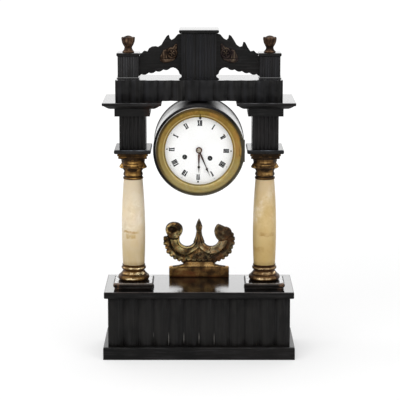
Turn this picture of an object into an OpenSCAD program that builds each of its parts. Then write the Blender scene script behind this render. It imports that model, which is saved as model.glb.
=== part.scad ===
// Two-column portico clock: ebonised case, alabaster columns, drum clock hung under a reeded beam.
// The front faces -Y, +X is right as seen from the front, and the base stands on Z = 0.

/* [Base] */
// Bare margin of the base outside the column plinths
base_margin = 14.5; // [10:0.5:20]
// Depth of the base top board
base_d = 136; // [132:1:146]
// Height of the plinth board
plinth_h = 21; // [16:0.5:26]
// Overhang of the plinth board beyond the top board
plinth_out = 2; // [1:0.5:4]
// Height of the reeded box
dado_h = 81.6; // [70:0.2:92]
// Set-in of the reeded box under the top board
dado_in = 6; // [4:0.5:8]
// Thickness of the box boards
board_t = 11; // [9:0.5:14]
// Thickness of the base top board
top_t = 11; // [8:0.5:15]
// Number of reeds across the base
base_reeds = 12; // [10:1:16]
// Rise of the base reeds
base_reed_rise = 4; // [2:0.5:5]

/* [Columns] */
// Distance of the column axis behind the front edge of the base
col_back = 51; // [49:0.5:53]
// Width of the square column plinth
col_plinth_w = 66; // [62:0.5:68]
// Height of the column plinth
col_plinth_h = 11.4; // [9:0.2:14]
// Height of the turned column base
col_base_h = 26.5; // [22:0.5:31]
// Diameter of the big torus of the column base
col_base_d = 52; // [48:0.5:56]
// Height of the alabaster shaft
shaft_h = 142.7; // [125:0.1:160]
// Diameter of the shaft at its foot
shaft_low_d = 36; // [34:0.2:37]
// Largest diameter of the shaft
shaft_mid_d = 38.6; // [37.4:0.2:40]
// Diameter of the shaft at its head
shaft_top_d = 31.2; // [29:0.2:32]
// Height of the leaf capital
capital_h = 45; // [40:0.5:50]
// Width of the horned slab of the capital
capital_w = 53.5; // [50:0.5:56]
// Leaves around the capital
capital_leaves = 8; // [6:2:12]
// Width of the abacus slab
abacus_w = 60; // [57:0.5:62]
// Depth of the abacus slab
abacus_d = 84; // [82:0.5:88]
// Thickness of the abacus slab
abacus_t = 6.8; // [5:0.2:9]
// Width of the pilaster block
pilaster_w = 42.5; // [40:0.5:45]
// Height of the pilaster block
pilaster_h = 55; // [48:0.5:62]
// Width of the rear pillar
rear_pillar_w = 24; // [20:0.5:26]
// Depth of the rear pillar
rear_pillar_d = 17; // [14:0.5:17.5]

/* [Beam] */
// Width of the overhanging cornice slab
cornice_w = 96; // [92:0.5:98]
// Depth of the cornice slab
cornice_d = 132; // [126:1:132]
// Thickness of the cornice slab
cornice_slab_t = 3.4; // [2.6:0.2:4.6]
// Height of the cornice with its impost block
cornice_h = 24; // [22:0.5:28]
// Width of the impost block under the cornice
impost_w = 57.4; // [55:0.2:60]
// Height of the impost block
impost_h = 12.6; // [10:0.2:14]
// Height of the beam
beam_h = 33.8; // [28:0.2:40]
// Depth of the beam
beam_d = 92; // [88:1:96]
// Overhang of the beam beyond the column axis
beam_over = 27.8; // [26:0.2:30]
// Set-back of the beam behind the cornice front
beam_setback = 30; // [26:0.5:33]
// Number of reeds across the beam
beam_reeds = 12; // [10:1:16]
// Rise of the beam reeds
beam_reed_rise = 3.4; // [2:0.2:4]

/* [Crest] */
// Set-back of the posts behind the beam front
crest_setback = 26; // [22:0.5:30]
// Width of the square corner posts
post_w = 34; // [31:0.5:36]
// Height of the corner posts
post_h = 36.4; // [32:0.2:41]
// Thickness of the post caps
post_cap_t = 5.7; // [4:0.1:7]
// Overhang of the post caps
post_cap_out = 1.8; // [1:0.2:2.6]
// Height of the urn finials
finial_h = 28; // [24:0.5:32]
// Diameter of the urn finials
finial_d = 23.4; // [20:0.2:26]
// Width of the fluted centre block
centre_w = 57.2; // [54:0.2:60]
// Height of the centre block
centre_h = 74.6; // [68:0.2:82]
// Thickness of the centre cap
centre_cap_t = 5.5; // [4:0.1:7]
// Overhang of the centre cap
centre_cap_out = 4; // [2:0.2:5]
// Thickness of the fretted wings
wing_t = 10; // [8:0.5:12]
// Thickness of the gilt wing mounts
mount_t = 3; // [2:0.2:4]

/* [Scroll ornament] */
// Height of the ornament from the base to the spear tip
orn_h = 101; // [90:1:110]
// Thickness of the carved scrolls
orn_t = 11; // [9:0.5:12]
// Width of the ornament foot
orn_foot_w = 102; // [96:1:108]
// Depth of the ornament foot
orn_foot_d = 16; // [15:0.5:18]
// Distance of the ornament foot from the rear edge of the base
orn_back = 4; // [2:0.5:6]

/* [Drum and dial] */
// Outer radius of the drum
drum_r = 74.5; // [73:0.1:76]
// Wall of the drum
drum_t = 4; // [3.6:0.1:4.4]
// Space between the drum and the beam
drum_gap = 3.5; // [3:0.1:5]
// Space between the drum and the abacus slabs
drum_clear = 4; // [3:0.1:6]
// Distance of the drum front ahead of the middle of the base
drum_front = 57.7; // [57:0.1:58]
// Length of the drum
drum_len = 119.7; // [118:0.1:122]
// Width of the bezel band around the dial opening
bezel_w = 15.3; // [14.8:0.1:16.3]
// Rise of the bezel ahead of the drum
bezel_rise = 7.4; // [6.6:0.1:8]
// Thickness of the glass
glass_t = 1.6; // [1.2:0.1:1.8]
// Radius of the winding holes in the dial
wind_hole_r = 3.6; // [3.2:0.1:4]
// Distance of the minute hand tip from the bezel opening
minute_short = 7.7; // [5:0.1:13]
// Distance of the hour hand tip from the bezel opening
hour_short = 16.7; // [15:0.1:23]
// Angle of the minute hand, clockwise from twelve
minute_angle = 157.3; // [0:0.1:359]
// Angle of the hour hand, clockwise from twelve
hour_angle = 180.6; // [0:0.1:359]

/* [Movement] */
// Thickness of the movement plates
plate_t = 2; // [1.6:0.1:2.4]
// Radius of the back plate
back_plate_r = 48; // [47:0.5:50]
// Radius of the spring barrels
barrel_r = 17.4; // [15:0.1:17.4]
// Running clearance of arbors in their holes
run_fit = 0.05; // [0.02:0.01:0.09]
// Radius of the bell
bell_r = 33; // [30:0.5:33]

/* [Hidden] */
$fn = 64;
eps = 0.02;
gap = 0.2;
curve_gap = 0.3;

z_dado = plinth_h + dado_h;
z_base = z_dado + top_t;
z_col_base = z_base + col_plinth_h;
z_shaft = z_col_base + col_base_h;
z_capital = z_shaft + shaft_h;
z_abacus = z_capital + capital_h;
z_pilaster = z_abacus + abacus_t;
z_cornice = z_pilaster + pilaster_h;
z_beam = z_cornice + cornice_h;
z_crest = z_beam + beam_h;
z_post_cap = z_crest + post_h;
z_finial = z_post_cap + post_cap_t;
z_centre_cap = z_crest + centre_h;
z_drum = z_beam - drum_gap - drum_r;

col_x = drum_r + drum_clear + abacus_w / 2;
col_y = col_back - base_d / 2;
base_w = 2 * (col_x + col_plinth_w / 2 + base_margin);
beam_w = 2 * (col_x + beam_over);
dado_w = base_w - 2 * dado_in;
dado_d = base_d - 2 * dado_in;

abacus_front = col_y - abacus_w / 2;
abacus_y = abacus_front + abacus_d / 2;
step_in = (abacus_w - pilaster_w) / 2;
pilaster_d = abacus_d - 2 * step_in;
impost_d = pilaster_d + impost_w - pilaster_w;
rear_pillar_y = col_y + col_plinth_w / 2 + rear_pillar_d / 2;

beam_front = beam_setback - cornice_d / 2;
beam_y = beam_front + beam_d / 2;
crest_front = beam_front + crest_setback;
post_x = beam_w / 2 - post_w / 2 - 3.2;
post_y = crest_front + post_w / 2;
centre_front = crest_front - 4;
centre_y = centre_front + centre_w / 2;
wing_y = crest_front + post_w / 2 - wing_t / 2;
wing_len = post_x - post_w / 2 - centre_w / 2;
wing_ku = wing_len / 70.5;
wing_kv = centre_h / 74.6;

orn_y = base_d / 2 - orn_back - orn_foot_d / 2;
orn_k = orn_h / 101;

// Depths of the clock, all measured along Y
y_front = -drum_front;
y_back = y_front + drum_len;
drum_in = drum_r - drum_t;
ledge_r = drum_in - 4.5;
ring_d = 10;
y_ring = y_front + ring_d;
dial_t = 2;
y_dial = y_front + 5.7;
bezel_r = drum_in - 0.2;
sight_r = bezel_r - bezel_w;
dial_r = sight_r + 2.6;
minute_len = sight_r - minute_short;
hour_len = sight_r - hour_short;
y_bezel = y_front - gap;
y_glass = y_bezel - 2.4;
y_plate = y_ring + 4.7;
plate_gap = 36;
y_plate_in = y_plate + plate_t;
y_plate_back = y_plate_in + plate_gap;
y_rear = y_plate_back + plate_t;
plate_r = dial_r;

// Hinges stand just inside the drum rim
hinge_x = drum_r - 2.4;
hinge_r = 2.2;
pin_r = 1;
y_hinge = y_front - hinge_r - 0.3;
hinge_half = 18;
lug_half = 7.5;
cover_t = 2.5;
y_cover = y_back + gap;
y_cover_hinge = y_back + hinge_r + 0.3;
cover_lug = 5.6;
cover_pin = 14;

// Arbors of the movement, measured from the dial centre
going = [-23.2, -11.3];
strike = [17.9, -13.4];
third = [10, 15];
escape = [0, 25.2];
anchor_at = [0, 40.7];
motion = [0, -17];
regulator = [2, sight_r - 1.7];
bell_at = [0, -25];
hammer_at = [34, 12];

great_n = 84;
centre_pinion_n = 12;
centre_n = 72;
third_pinion_n = 8;
third_n = 60;
escape_pinion_n = 8;
cannon_n = 12;
minute_n = 36;
minute_pinion_n = 10;
hour_n = 40;
arbor_r = 1.1;
pillar_r = 2.2;
pillar_at = back_plate_r - pillar_r - 0.4;
wind_r = 2.6;
regulator_r = 1.2;
escape_r = 11;

black = [0.06, 0.055, 0.05];
gilt = [0.55, 0.38, 0.16];
brass = [0.78, 0.62, 0.3];
copper = [0.36, 0.2, 0.11];
alabaster = [0.93, 0.85, 0.7];
steel = [0.55, 0.56, 0.58];

// Points on an arc about c, from angle a0 to a1
function arc(c, r, a0, a1, n) =
    [for (i = [0 : n]) let (a = a0 + (a1 - a0) * i / n) [c[0] + r * cos(a), c[1] + r * sin(a)]];

// Symmetric outline of width w from a moulding given as [inset, height] going up
function moulding(w, edge) = concat(
    [for (p = edge) [w / 2 - p[0], p[1]]],
    [for (i = [len(edge) - 1 : -1 : 0]) [edge[i][0] - w / 2, edge[i][1]]]);

// Clockwise tooth outline with one tooth centred at angle phase
function teeth(n, r_root, r_tip, phase) =
    [for (i = [0 : n - 1], p = [[-0.28, r_root], [-0.09, r_tip], [0.09, r_tip], [0.28, r_root]])
        let (a = phase + 360 / n * (i + p[0])) p[1] * [sin(a), cos(a)]];

// Angle of point p seen from point q, clockwise from up
function bearing(q, p) = atan2(p[0] - q[0], p[1] - q[1]);
function module_of(q, p, na, nb) = 2 * norm(p - q) / (na + nb);

module block(x0, x1, y0, y1, z0, z1) {
    translate([x0, y0, z0])
        cube([x1 - x0, y1 - y0, z1 - z0]);
}

// Block of width w and depth d with the same moulding on all four sides
module moulded(w, d, edge) {
    intersection() {
        rotate([90, 0, 0])
            linear_extrude(d + 2, center = true)
                polygon(moulding(w, edge));
        rotate([90, 0, 90])
            linear_extrude(w + 2, center = true)
                polygon(moulding(d, edge));
    }
}

// Round bar along Y at clock position p
module rod(p, r, y0, y1) {
    translate([p[0], y0, z_drum + p[1]])
        rotate([-90, 0, 0])
            cylinder(r = r, h = y1 - y0);
}

// Plate along Y cut from a clockwise outline around clock position p
module plate(p, y0, y1) {
    translate([p[0], y1, z_drum + p[1]])
        rotate([90, 0, 0])
            linear_extrude(y1 - y0)
                children();
}

// Turned form around the clock axis, outline as [radius, y]
module turned(points) {
    translate([0, 0, z_drum])
        rotate([-90, 0, 0])
            rotate_extrude($fn = 128)
                polygon(points);
}

// Row of n convex reeds of width w and height h, crests at Y = 0, backing to Y = back
module reeds(w, h, n, rise, back) {
    pitch = w / n;
    chord = pitch + 0.3;
    r = (chord * chord / 4 + rise * rise) / (2 * rise);
    block(-w / 2, w / 2, rise, back, 0, h);
    intersection() {
        block(-w / 2, w / 2, 0, rise + eps, 0, h);
        union() {
            for (i = [0 : n - 1])
                translate([(i + 0.5) * pitch - w / 2, r, 0])
                    cylinder(r = r, h = h, $fn = 96);
        }
    }
}

// Row of n shallow flutes cut into a front face of width w
module flutes(w, h, n, r) {
    pitch = w / n;
    for (i = [0 : n - 1])
        translate([(i + 0.5) * pitch - w / 2, -0.55 * r, 0])
            cylinder(r = r, h = h, $fn = 24);
}

// Gear with a round hole, meshing tooth or space set by phase
module gear(p, n, m, y0, y1, phase, hole) {
    difference() {
        plate(p, y0, y1)
            polygon(teeth(n, m * (n / 2 - 1.15), m * (n / 2 + 0.8), phase));
        rod(p, hole, y0 - 1, y1 + 1);
    }
}

// Pinion leaves cut in one with their arbor
module pinion(p, n, m, y0, y1, phase) {
    plate(p, y0, y1)
        polygon(teeth(n, m * (n / 2 - 1.15), m * (n / 2 + 0.8), phase));
}

// Spokes cut-outs of a train wheel: three round windows
module windows(p, r_at, r, y0, y1) {
    for (a = [0, 120, 240])
        rod(p + r_at * [sin(a), cos(a)], r, y0 - 1, y1 + 1);
}

module base_plinth() {
    color(black)
        moulded(base_w + 2 * plinth_out, base_d + 2 * plinth_out,
            concat([[0, 0]], [for (q = arc([2.4, plinth_h - 2.4], 2.4, 180, 90, 4)) q]));
}

module base_front() {
    color(black)
        translate([0, -dado_d / 2, plinth_h])
            reeds(dado_w, dado_h, base_reeds, base_reed_rise, board_t);
}

module base_side(side) {
    color(black)
        translate([side * (dado_w - board_t) / 2, 0, plinth_h])
            block(-board_t / 2, board_t / 2, board_t - dado_d / 2, dado_d / 2 - board_t, 0, dado_h);
}

module base_side_left() {
    base_side(-1);
}

module base_side_right() {
    base_side(1);
}

module base_back() {
    color(black)
        block(-dado_w / 2, dado_w / 2, dado_d / 2 - board_t, dado_d / 2, plinth_h, z_dado);
}

module base_top() {
    color(black)
        translate([0, 0, z_dado])
            moulded(base_w, base_d, [[1, 0], [0, 1], [0, top_t - 0.8], [0.8, top_t]]);
}

module column_plinth(side) {
    color(black)
        translate([side * col_x, col_y, z_base])
            moulded(col_plinth_w, col_plinth_w, concat(
                [[2.2, 0], [2.2, 0.38 * col_plinth_h], [0, 0.46 * col_plinth_h]],
                arc([3.4, col_plinth_h - 3.4], 3.4, 180, 90, 5)));
}

module column_plinth_left() {
    column_plinth(-1);
}

module column_plinth_right() {
    column_plinth(1);
}

module column_base(side) {
    r = col_base_d / 2;
    k = col_base_h / 26.5;
    low = r - 4.8;
    color(gilt)
        translate([side * col_x, col_y, z_col_base])
            scale([1, 1, k])
                rotate_extrude()
                    polygon(concat(
                        [[0, 0], [low + 1.4, 0]],
                        arc([low, 4.8], 4.8, -66, 60, 7),
                        [[r - 3.8, 9.4], [r - 3.8, 10.4], [r - 5.6, 12], [r - 7, 14]],
                        [[17.9, 15.8], [17.4, 16.8], [17.4, 17.8]],
                        arc([17.4, 20.8], 3, -80, 80, 6),
                        [[18.8, 24.6], [18.8, 26.5], [0, 26.5]]));
}

module column_base_left() {
    column_base(-1);
}

module column_base_right() {
    column_base(1);
}

// Shaft radius with entasis, t runs from foot to head
function shaft_radius(t) = t < 0.38
    ? shaft_mid_d / 2 - (shaft_mid_d - shaft_low_d) / 2 * pow((0.38 - t) / 0.38, 2)
    : shaft_mid_d / 2 - (shaft_mid_d - shaft_top_d) / 2 * pow((t - 0.38) / 0.62, 2);

module column_shaft(side) {
    color(alabaster)
        translate([side * col_x, col_y, z_shaft])
            rotate_extrude()
                polygon(concat([[0, 0]],
                    [for (i = [0 : 16]) [shaft_radius(i / 16), shaft_h * i / 16]],
                    [[0, shaft_h]]));
}

module column_shaft_left() {
    column_shaft(-1);
}

module column_shaft_right() {
    column_shaft(1);
}

// Bell with astragal, a ring of curled leaves, and a horned slab on top
module capital(side) {
    k = capital_h / 45;
    leaf_step = 360 / capital_leaves;
    color(gilt)
        translate([side * col_x, col_y, z_capital])
            scale([1, 1, k]) {
                rotate_extrude()
                    polygon(concat([[0, 0], [14.6, 0]],
                        arc([14.6, 2.2], 2.1, -80, 80, 5),
                        [[15, 5], [15.2, 12], [16, 20], [17.4, 27], [18.2, 32], [20.4, 37.2], [0, 37.2]]));
                difference() {
                    rotate_extrude()
                        polygon(concat([[13, 8], [15.6, 8], [16.6, 14], [18.6, 18.6]],
                            arc([20.6, 21.4], 2.4, -60, 150, 8), [[18, 21], [13, 18]]));
                    for (i = [0 : capital_leaves - 1])
                        rotate([0, 0, (i + 0.5) * leaf_step])
                            translate([24.2, 0, 6])
                                cylinder(r = 3.6, h = 22, $fn = 24);
                }
                horned_slab(capital_w - 4, 37.2, 40);
                horned_slab(capital_w, 40, 45);
            }
}

// Square slab with hollow sides
module horned_slab(w, z0, z1) {
    difference() {
        block(-w / 2, w / 2, -w / 2, w / 2, z0, z1);
        for (a = [0, 90, 180, 270])
            rotate([0, 0, a])
                translate([w / 2 + 38, 0, z0 - 1])
                    cylinder(r = 42.5, h = z1 - z0 + 2, $fn = 96);
    }
}

module capital_left() {
    capital(-1);
}

module capital_right() {
    capital(1);
}

module abacus(side) {
    color(black)
        translate([side * col_x, abacus_y, z_abacus])
            moulded(abacus_w, abacus_d, concat([[1.6, 0], [0, 1.4]],
                arc([2, abacus_t - 2], 2, 180, 90, 4)));
}

module abacus_left() {
    abacus(-1);
}

module abacus_right() {
    abacus(1);
}

module rear_pillar(side) {
    color(black)
        translate([side * col_x, rear_pillar_y, z_base])
            block(-rear_pillar_w / 2, rear_pillar_w / 2, -rear_pillar_d / 2, rear_pillar_d / 2,
                0, z_abacus - z_base);
}

module rear_pillar_left() {
    rear_pillar(-1);
}

module rear_pillar_right() {
    rear_pillar(1);
}

module pilaster(side) {
    color(black)
        translate([side * col_x, abacus_y, z_pilaster])
            difference() {
                block(-pilaster_w / 2, pilaster_w / 2, -pilaster_d / 2, pilaster_d / 2, 0, pilaster_h);
                translate([0, -pilaster_d / 2, -1])
                    flutes(pilaster_w - 6, pilaster_h + 2, 6, 2.2);
            }
}

module pilaster_left() {
    pilaster(-1);
}

module pilaster_right() {
    pilaster(1);
}

// Hollow curve from the impost block out to the slab
function cove(from, to, rise) =
    [for (i = [0 : 6]) [from + (to - from) * (1 - cos(15 * i)), impost_h + rise * sin(15 * i)]];

// Outline of the cornice over block edges b0 and b1 and slab edges e0 and e1
function cornice_outline(b0, b1, e0, e1) = let (
    top = cornice_h - cornice_slab_t,
    rise = top - impost_h,
    left = cove(b0, e0 + 4, rise))
    concat(cove(b1, e1 - 4, rise), [[e1, top], [e1, cornice_h], [e0, cornice_h], [e0, top]],
        [for (i = [6 : -1 : 0]) left[i]]);

// Impost block, hollow moulding and thin slab, the slab reaching further front and back than the block
module cornice(side) {
    color(black)
        translate([side * col_x, 0, z_cornice]) {
            translate([0, abacus_y, 0])
                moulded(impost_w, impost_d, [[0, 0], [0, impost_h + eps]]);
            intersection() {
                rotate([90, 0, 0])
                    linear_extrude(cornice_d + 2, center = true)
                        polygon(cornice_outline(-impost_w / 2, impost_w / 2, -cornice_w / 2, cornice_w / 2));
                rotate([90, 0, 90])
                    linear_extrude(cornice_w + 2, center = true)
                        polygon(cornice_outline(abacus_y - impost_d / 2, abacus_y + impost_d / 2,
                            -cornice_d / 2, cornice_d / 2));
            }
        }
}

module cornice_left() {
    cornice(-1);
}

module cornice_right() {
    cornice(1);
}

module beam() {
    color(black)
        translate([0, beam_front, z_beam])
            reeds(beam_w, beam_h, beam_reeds, beam_reed_rise, beam_d);
}

module post(side) {
    color(black)
        translate([side * post_x, post_y, z_crest]) {
            moulded(post_w + 2, post_w + 2, [[0, 0], [0, 1.2], [1, 2.2]]);
            difference() {
                block(-post_w / 2, post_w / 2, -post_w / 2, post_w / 2, 0, post_h);
                translate([0, -post_w / 2, 3])
                    flutes(post_w - 4, post_h, 8, 1.4);
            }
        }
}

module post_left() {
    post(-1);
}

module post_right() {
    post(1);
}

module post_cap(side) {
    w = post_w + 2 * post_cap_out;
    color(black)
        translate([side * post_x, post_y, z_post_cap])
            moulded(w, w, [[1.2, 0], [0, 1.4], [0, post_cap_t - 0.8], [0.8, post_cap_t]]);
}

module post_cap_left() {
    post_cap(-1);
}

module post_cap_right() {
    post_cap(1);
}

// Tulip cup with a petalled rim on a flared foot
module finial(side) {
    kr = finial_d / 23.4;
    kz = finial_h / 28;
    color(copper)
        translate([side * post_x, post_y, z_finial])
            difference() {
                rotate_extrude()
                    polygon([for (p = [[0, 0], [9.8, 0], [9.7, 1.4], [8.2, 2.8], [6.9, 4.8], [6.2, 7],
                        [6.2, 8.6], [7.4, 10.4], [9.2, 13.2], [10.4, 15.8], [11.1, 18.4], [11.6, 21.6],
                        [11.7, 24.4], [9.4, 24.8], [7.2, 26.2], [4, 27.6], [0, 28]])
                        [p[0] * kr, p[1] * kz]]);
                for (a = [0 : 45 : 315])
                    rotate([0, 0, a + 22.5])
                        translate([finial_d / 2 + 0.5, 0, 15 * kz])
                            cylinder(r = 1.5, h = 14 * kz, $fn = 24);
            }
}

module finial_left() {
    finial(-1);
}

module finial_right() {
    finial(1);
}

module centre_block() {
    foot = centre_cap_out;
    color(black)
        translate([0, centre_y, z_crest]) {
            moulded(centre_w + 2 * foot, centre_w + 2 * foot, [[0, 0], [0, 1.2], [foot, 3.4]]);
            difference() {
                block(-centre_w / 2, centre_w / 2, -centre_w / 2, centre_w / 2, 0, centre_h);
                translate([0, -centre_w / 2, 5])
                    flutes(centre_w - 5, centre_h, 12, 1.6);
            }
        }
}

module centre_cap() {
    w = centre_w + 2 * centre_cap_out;
    color(black)
        translate([0, centre_y, z_centre_cap])
            moulded(w, w, [[1.6, 0], [0, 1.8], [0, centre_cap_t - 1], [1, centre_cap_t]]);
}

// Upper leaf edge of a wing, from the centre block outwards; the left wing has lost its outer leaf tip
wing_inner_edge = [[0, 73], [6, 72], [12, 65], [16.6, 62.6], [19.4, 65.4], [20.6, 71], [24, 69.4],
    [28.6, 62.4], [33, 54.8], [38.4, 51.2], [42.4, 52.4]];
wing_tip = [[44.2, 59.2], [46.8, 59], [51.4, 50.2]];
wing_broken_tip = [[48.8, 51.6], [53.4, 48.8]];
wing_outer_edge = let (u = 70.5 - (post_cap_out + gap) / wing_ku, v = (post_h - gap) / wing_kv)
    [[55.8, 43.8], [61.6, 45], [64.8, 41.6], [u, 39.7], [u, v], [70.5, v]];
// Lower edge with four hanging lobes, from the post inwards
wing_lower_edge = concat([[70.5, 3], [68.4, 4]],
    [for (i = [24 : -1 : 0]) let (u = 18 + 2 * i)
        [u, 16.4 - 10.2 * i / 24 - 2.2 * abs(sin(180 * i / 6))]],
    [[14, 17.4], [9, 15.6], [5.4, 12], [3.6, 7], [0, 4.4]]);

function wing_outline(whole) = [for (p = concat(wing_inner_edge,
    whole ? wing_tip : wing_broken_tip, wing_outer_edge, wing_lower_edge)) [p[0] * wing_ku, p[1] * wing_kv]];

module crest_wing(side, whole) {
    color(black)
        translate([side * centre_w / 2, wing_y + wing_t, z_crest])
            rotate([90, 0, 0])
                linear_extrude(wing_t)
                    scale([side, 1])
                        polygon(wing_outline(whole));
}

module crest_wing_left() {
    crest_wing(-1, false);
}

module crest_wing_right() {
    crest_wing(1, true);
}

// Rosette in a ring, with a leaf towards the centre block and a tail of two leaves towards the post
module wing_mount(side) {
    at = [16.2 * wing_ku, 41 * wing_kv];
    plate = [[-9.4, -3], [-9, 6], [-9.4, 14.6], [-6.8, 16], [-3.6, 12.6], [0, 9.6], [5.4, 8.6], [9.6, 6.2],
        [13.4, 4.6], [15.8, 0], [19.2, -6.4], [19.4, -13], [14, -16.4], [6, -16], [-2, -12.6], [-7.4, -8.6]];
    low_leaf = [[-5, -8.8], [2, -11.4], [10, -11.8], [18, -9.6],
        [18, -12.4], [13, -15], [6, -14.6], [-1.4, -11.6]];
    side_leaf = [[10.6, 4], [13, 3], [15, -2], [15, -8], [12, -8.4], [10.4, -3]];
    color(copper)
        translate([side * (centre_w / 2 + at[0]), wing_y, z_crest + at[1]])
            rotate([90, 0, 0])
                scale([side, 1, 1]) {
                    difference() {
                        cylinder(r = 8.4, h = mount_t);
                        translate([0, 0, mount_t - 1.2])
                            cylinder(r = 6, h = 2);
                    }
                    cylinder(r = 2.8, h = mount_t + 0.8);
                    linear_extrude(mount_t - 1.2)
                        polygon(plate);
                    linear_extrude(mount_t - 0.3)
                        polygon(low_leaf);
                    linear_extrude(mount_t - 0.3)
                        polygon(side_leaf);
                }
}

module wing_mount_left() {
    wing_mount(-1);
}

module wing_mount_right() {
    wing_mount(1);
}

// Half outline of the scroll ornament: horn around the open bowl, with a lobed leaf edge
module horn() {
    bowl = [20.5, 66];
    horn_c = [22, 63];
    polygon(concat(
        arc(horn_c, 37, -104, 34, 20),
        [[41.5, 79.5], [33, 68]],
        arc(bowl, 13.4, -18, -168, 14),
        [[7.2, 70], [-1, 72], [-1, 25.2]]));
    for (i = [0 : 9])
        translate(horn_c + 35.6 * [cos(28 - 13 * i), sin(28 - 13 * i)])
            circle(r = 4.1, $fn = 24);
}

// Spear standing between the scrolls, drawn as a half outline
function spear() = let (half = [[9.6, 60], [5.4, 74], [4.6, 80], [6.1, 87], [3.4, 94], [0, 101]])
    concat(half, [for (i = [len(half) - 2 : -1 : 0]) [-half[i][0], half[i][1]]]);

module ornament_2d() {
    for (s = [-1, 1])
        scale([s, 1]) {
            horn();
            translate([41.4, 79.6])
                circle(r = 15);
        }
    polygon(spear());
}

// Raised front of the ornament: bowl ribs, scroll rings with eyes, spear ridge
module ornament_relief() {
    for (s = [-1, 1])
        scale([s, 1]) {
            polygon(concat(arc([20.5, 66], 14.6, -20, -150, 12), arc([20.5, 66], 22.6, -140, -16, 12)));
            difference() {
                translate([41.4, 79.6])
                    circle(r = 13);
                translate([41.4, 79.6])
                    circle(r = 9);
            }
            translate([41.4, 79.6])
                circle(r = 4.4);
        }
    polygon([[-3, 66], [3, 66], [2.8, 86], [0, 96], [-2.8, 86]]);
}

module scroll_ornament() {
    foot_h = 17.3 * orn_k;
    half = orn_foot_w / 2;
    color(gilt)
        translate([0, orn_y, z_base]) {
            translate([0, orn_foot_d / 2, 0])
                rotate([90, 0, 0])
                    linear_extrude(orn_foot_d)
                        polygon([[-half, 0], [half, 0], [half, foot_h], [half - 6, foot_h + 0.6],
                            [27, 20.6 * orn_k], [22.6, 26 * orn_k], [-22.6, 26 * orn_k], [-27, 20.6 * orn_k],
                            [6 - half, foot_h + 0.6], [-half, foot_h]]);
            translate([0, orn_t / 2, 0])
                rotate([90, 0, 0])
                    linear_extrude(orn_t)
                        scale(orn_k)
                            ornament_2d();
            translate([0, 0.5 - orn_t / 2, 0])
                rotate([90, 0, 0])
                    linear_extrude(3)
                        scale(orn_k)
                            ornament_relief();
        }
}

// Tube with a ledge for the dial ring, a rear bead, the cover hinge lug and the saddle that meets the beam
module drum_shell() {
    saddle_w = 28;
    saddle_front = beam_front + 42;
    saddle_z = drum_r * cos(asin(saddle_w / 2 / drum_r)) - 1;
    color(black) {
        turned([[drum_r, y_front], [drum_r, y_back - 7], [drum_r + 1.2, y_back - 6], [drum_r + 1.2, y_back],
            [drum_in, y_back], [drum_in, y_ring + 5], [ledge_r, y_ring + 4], [ledge_r, y_ring],
            [drum_in, y_ring], [drum_in, y_front]]);
        difference() {
            block(-saddle_w / 2, saddle_w / 2, saddle_front, y_back - 10, z_drum + saddle_z, z_beam);
            rod([0, 0], drum_r - 0.5, y_front, y_back);
        }
        block(-drum_r, -hinge_x, y_back - eps, y_cover_hinge, z_drum - cover_lug, z_drum + cover_lug);
        translate([-hinge_x, y_cover_hinge, z_drum - cover_lug])
            cylinder(r = hinge_r - gap, h = 2 * cover_lug);
        translate([-hinge_x, y_cover_hinge, z_drum - cover_pin])
            cylinder(r = pin_r, h = 2 * cover_pin);
    }
}

// Fixed ring inside the drum front: seat of the dial, bezel hinge lug with its pin, posts to the plate
module dial_ring() {
    color(brass) {
        difference() {
            turned([[bezel_r, y_front], [bezel_r, y_ring], [dial_r - 5.4, y_ring],
                [dial_r - 5.4, y_dial + dial_t], [dial_r + 0.4, y_dial + dial_t], [dial_r + 0.4, y_front]]);
            rod(regulator, regulator_r + 0.7, y_dial, y_ring + 1);
        }
        for (a = [45, 135, 225, 315])
            rod((dial_r - 2.6) * [sin(a), cos(a)], 2.2, y_ring - eps, y_plate);
        block(bezel_r - 5, hinge_x, y_hinge - hinge_r, y_front + eps, z_drum - lug_half, z_drum + lug_half);
        translate([hinge_x, y_hinge, z_drum - lug_half])
            cylinder(r = hinge_r, h = 2 * lug_half);
        translate([hinge_x, y_hinge, z_drum - hinge_half])
            cylinder(r = pin_r, h = 2 * hinge_half);
    }
}

// Hinged brass ring with a rolled front, a rebate for the glass, and two hinge knuckles
module bezel() {
    y_crest = y_bezel - bezel_rise;
    color(brass)
        difference() {
            union() {
                turned(concat(
                    [[bezel_r, y_bezel], [bezel_r, y_bezel - 2.6], [bezel_r - 1.2, y_bezel - 4.2]],
                    [for (q = arc([0, 0], 1, 0, 90, 5))
                        [bezel_r - 5.4 + 3.4 * q[0], y_crest + 3 - 3 * q[1]]],
                    [[sight_r + 6.4, y_crest + 0.6], [sight_r + 1.6, y_crest + 3.6],
                        [sight_r, y_crest + 3.8], [sight_r, y_glass], [sight_r + 2.4, y_glass],
                        [sight_r + 2.4, y_bezel]]));
                for (s = [-1, 1])
                    hinge_knuckle(s);
            }
            block(bezel_r - 5.4, drum_r + 2, y_crest - 1, y_bezel + 1,
                z_drum - lug_half - 0.4, z_drum + lug_half + 0.4);
            translate([hinge_x, y_hinge, z_drum - hinge_half - 1])
                cylinder(r = pin_r + run_fit, h = 2 * hinge_half + 2);
        }
}

module hinge_knuckle(s) {
    mid = s * (lug_half + 0.4 + hinge_half) / 2;
    half = (hinge_half - lug_half - 0.4) / 2;
    translate([hinge_x, y_hinge, z_drum + mid - half])
        cylinder(r = hinge_r, h = 2 * half);
    block(bezel_r - 5, hinge_x, y_hinge - hinge_r, y_bezel, z_drum + mid - half, z_drum + mid + half);
}

module dial_glass() {
    color([0.9, 0.95, 0.95, 0.3])
        rod([0, 0], sight_r + 2.1, y_glass, y_glass + glass_t);
}

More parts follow.
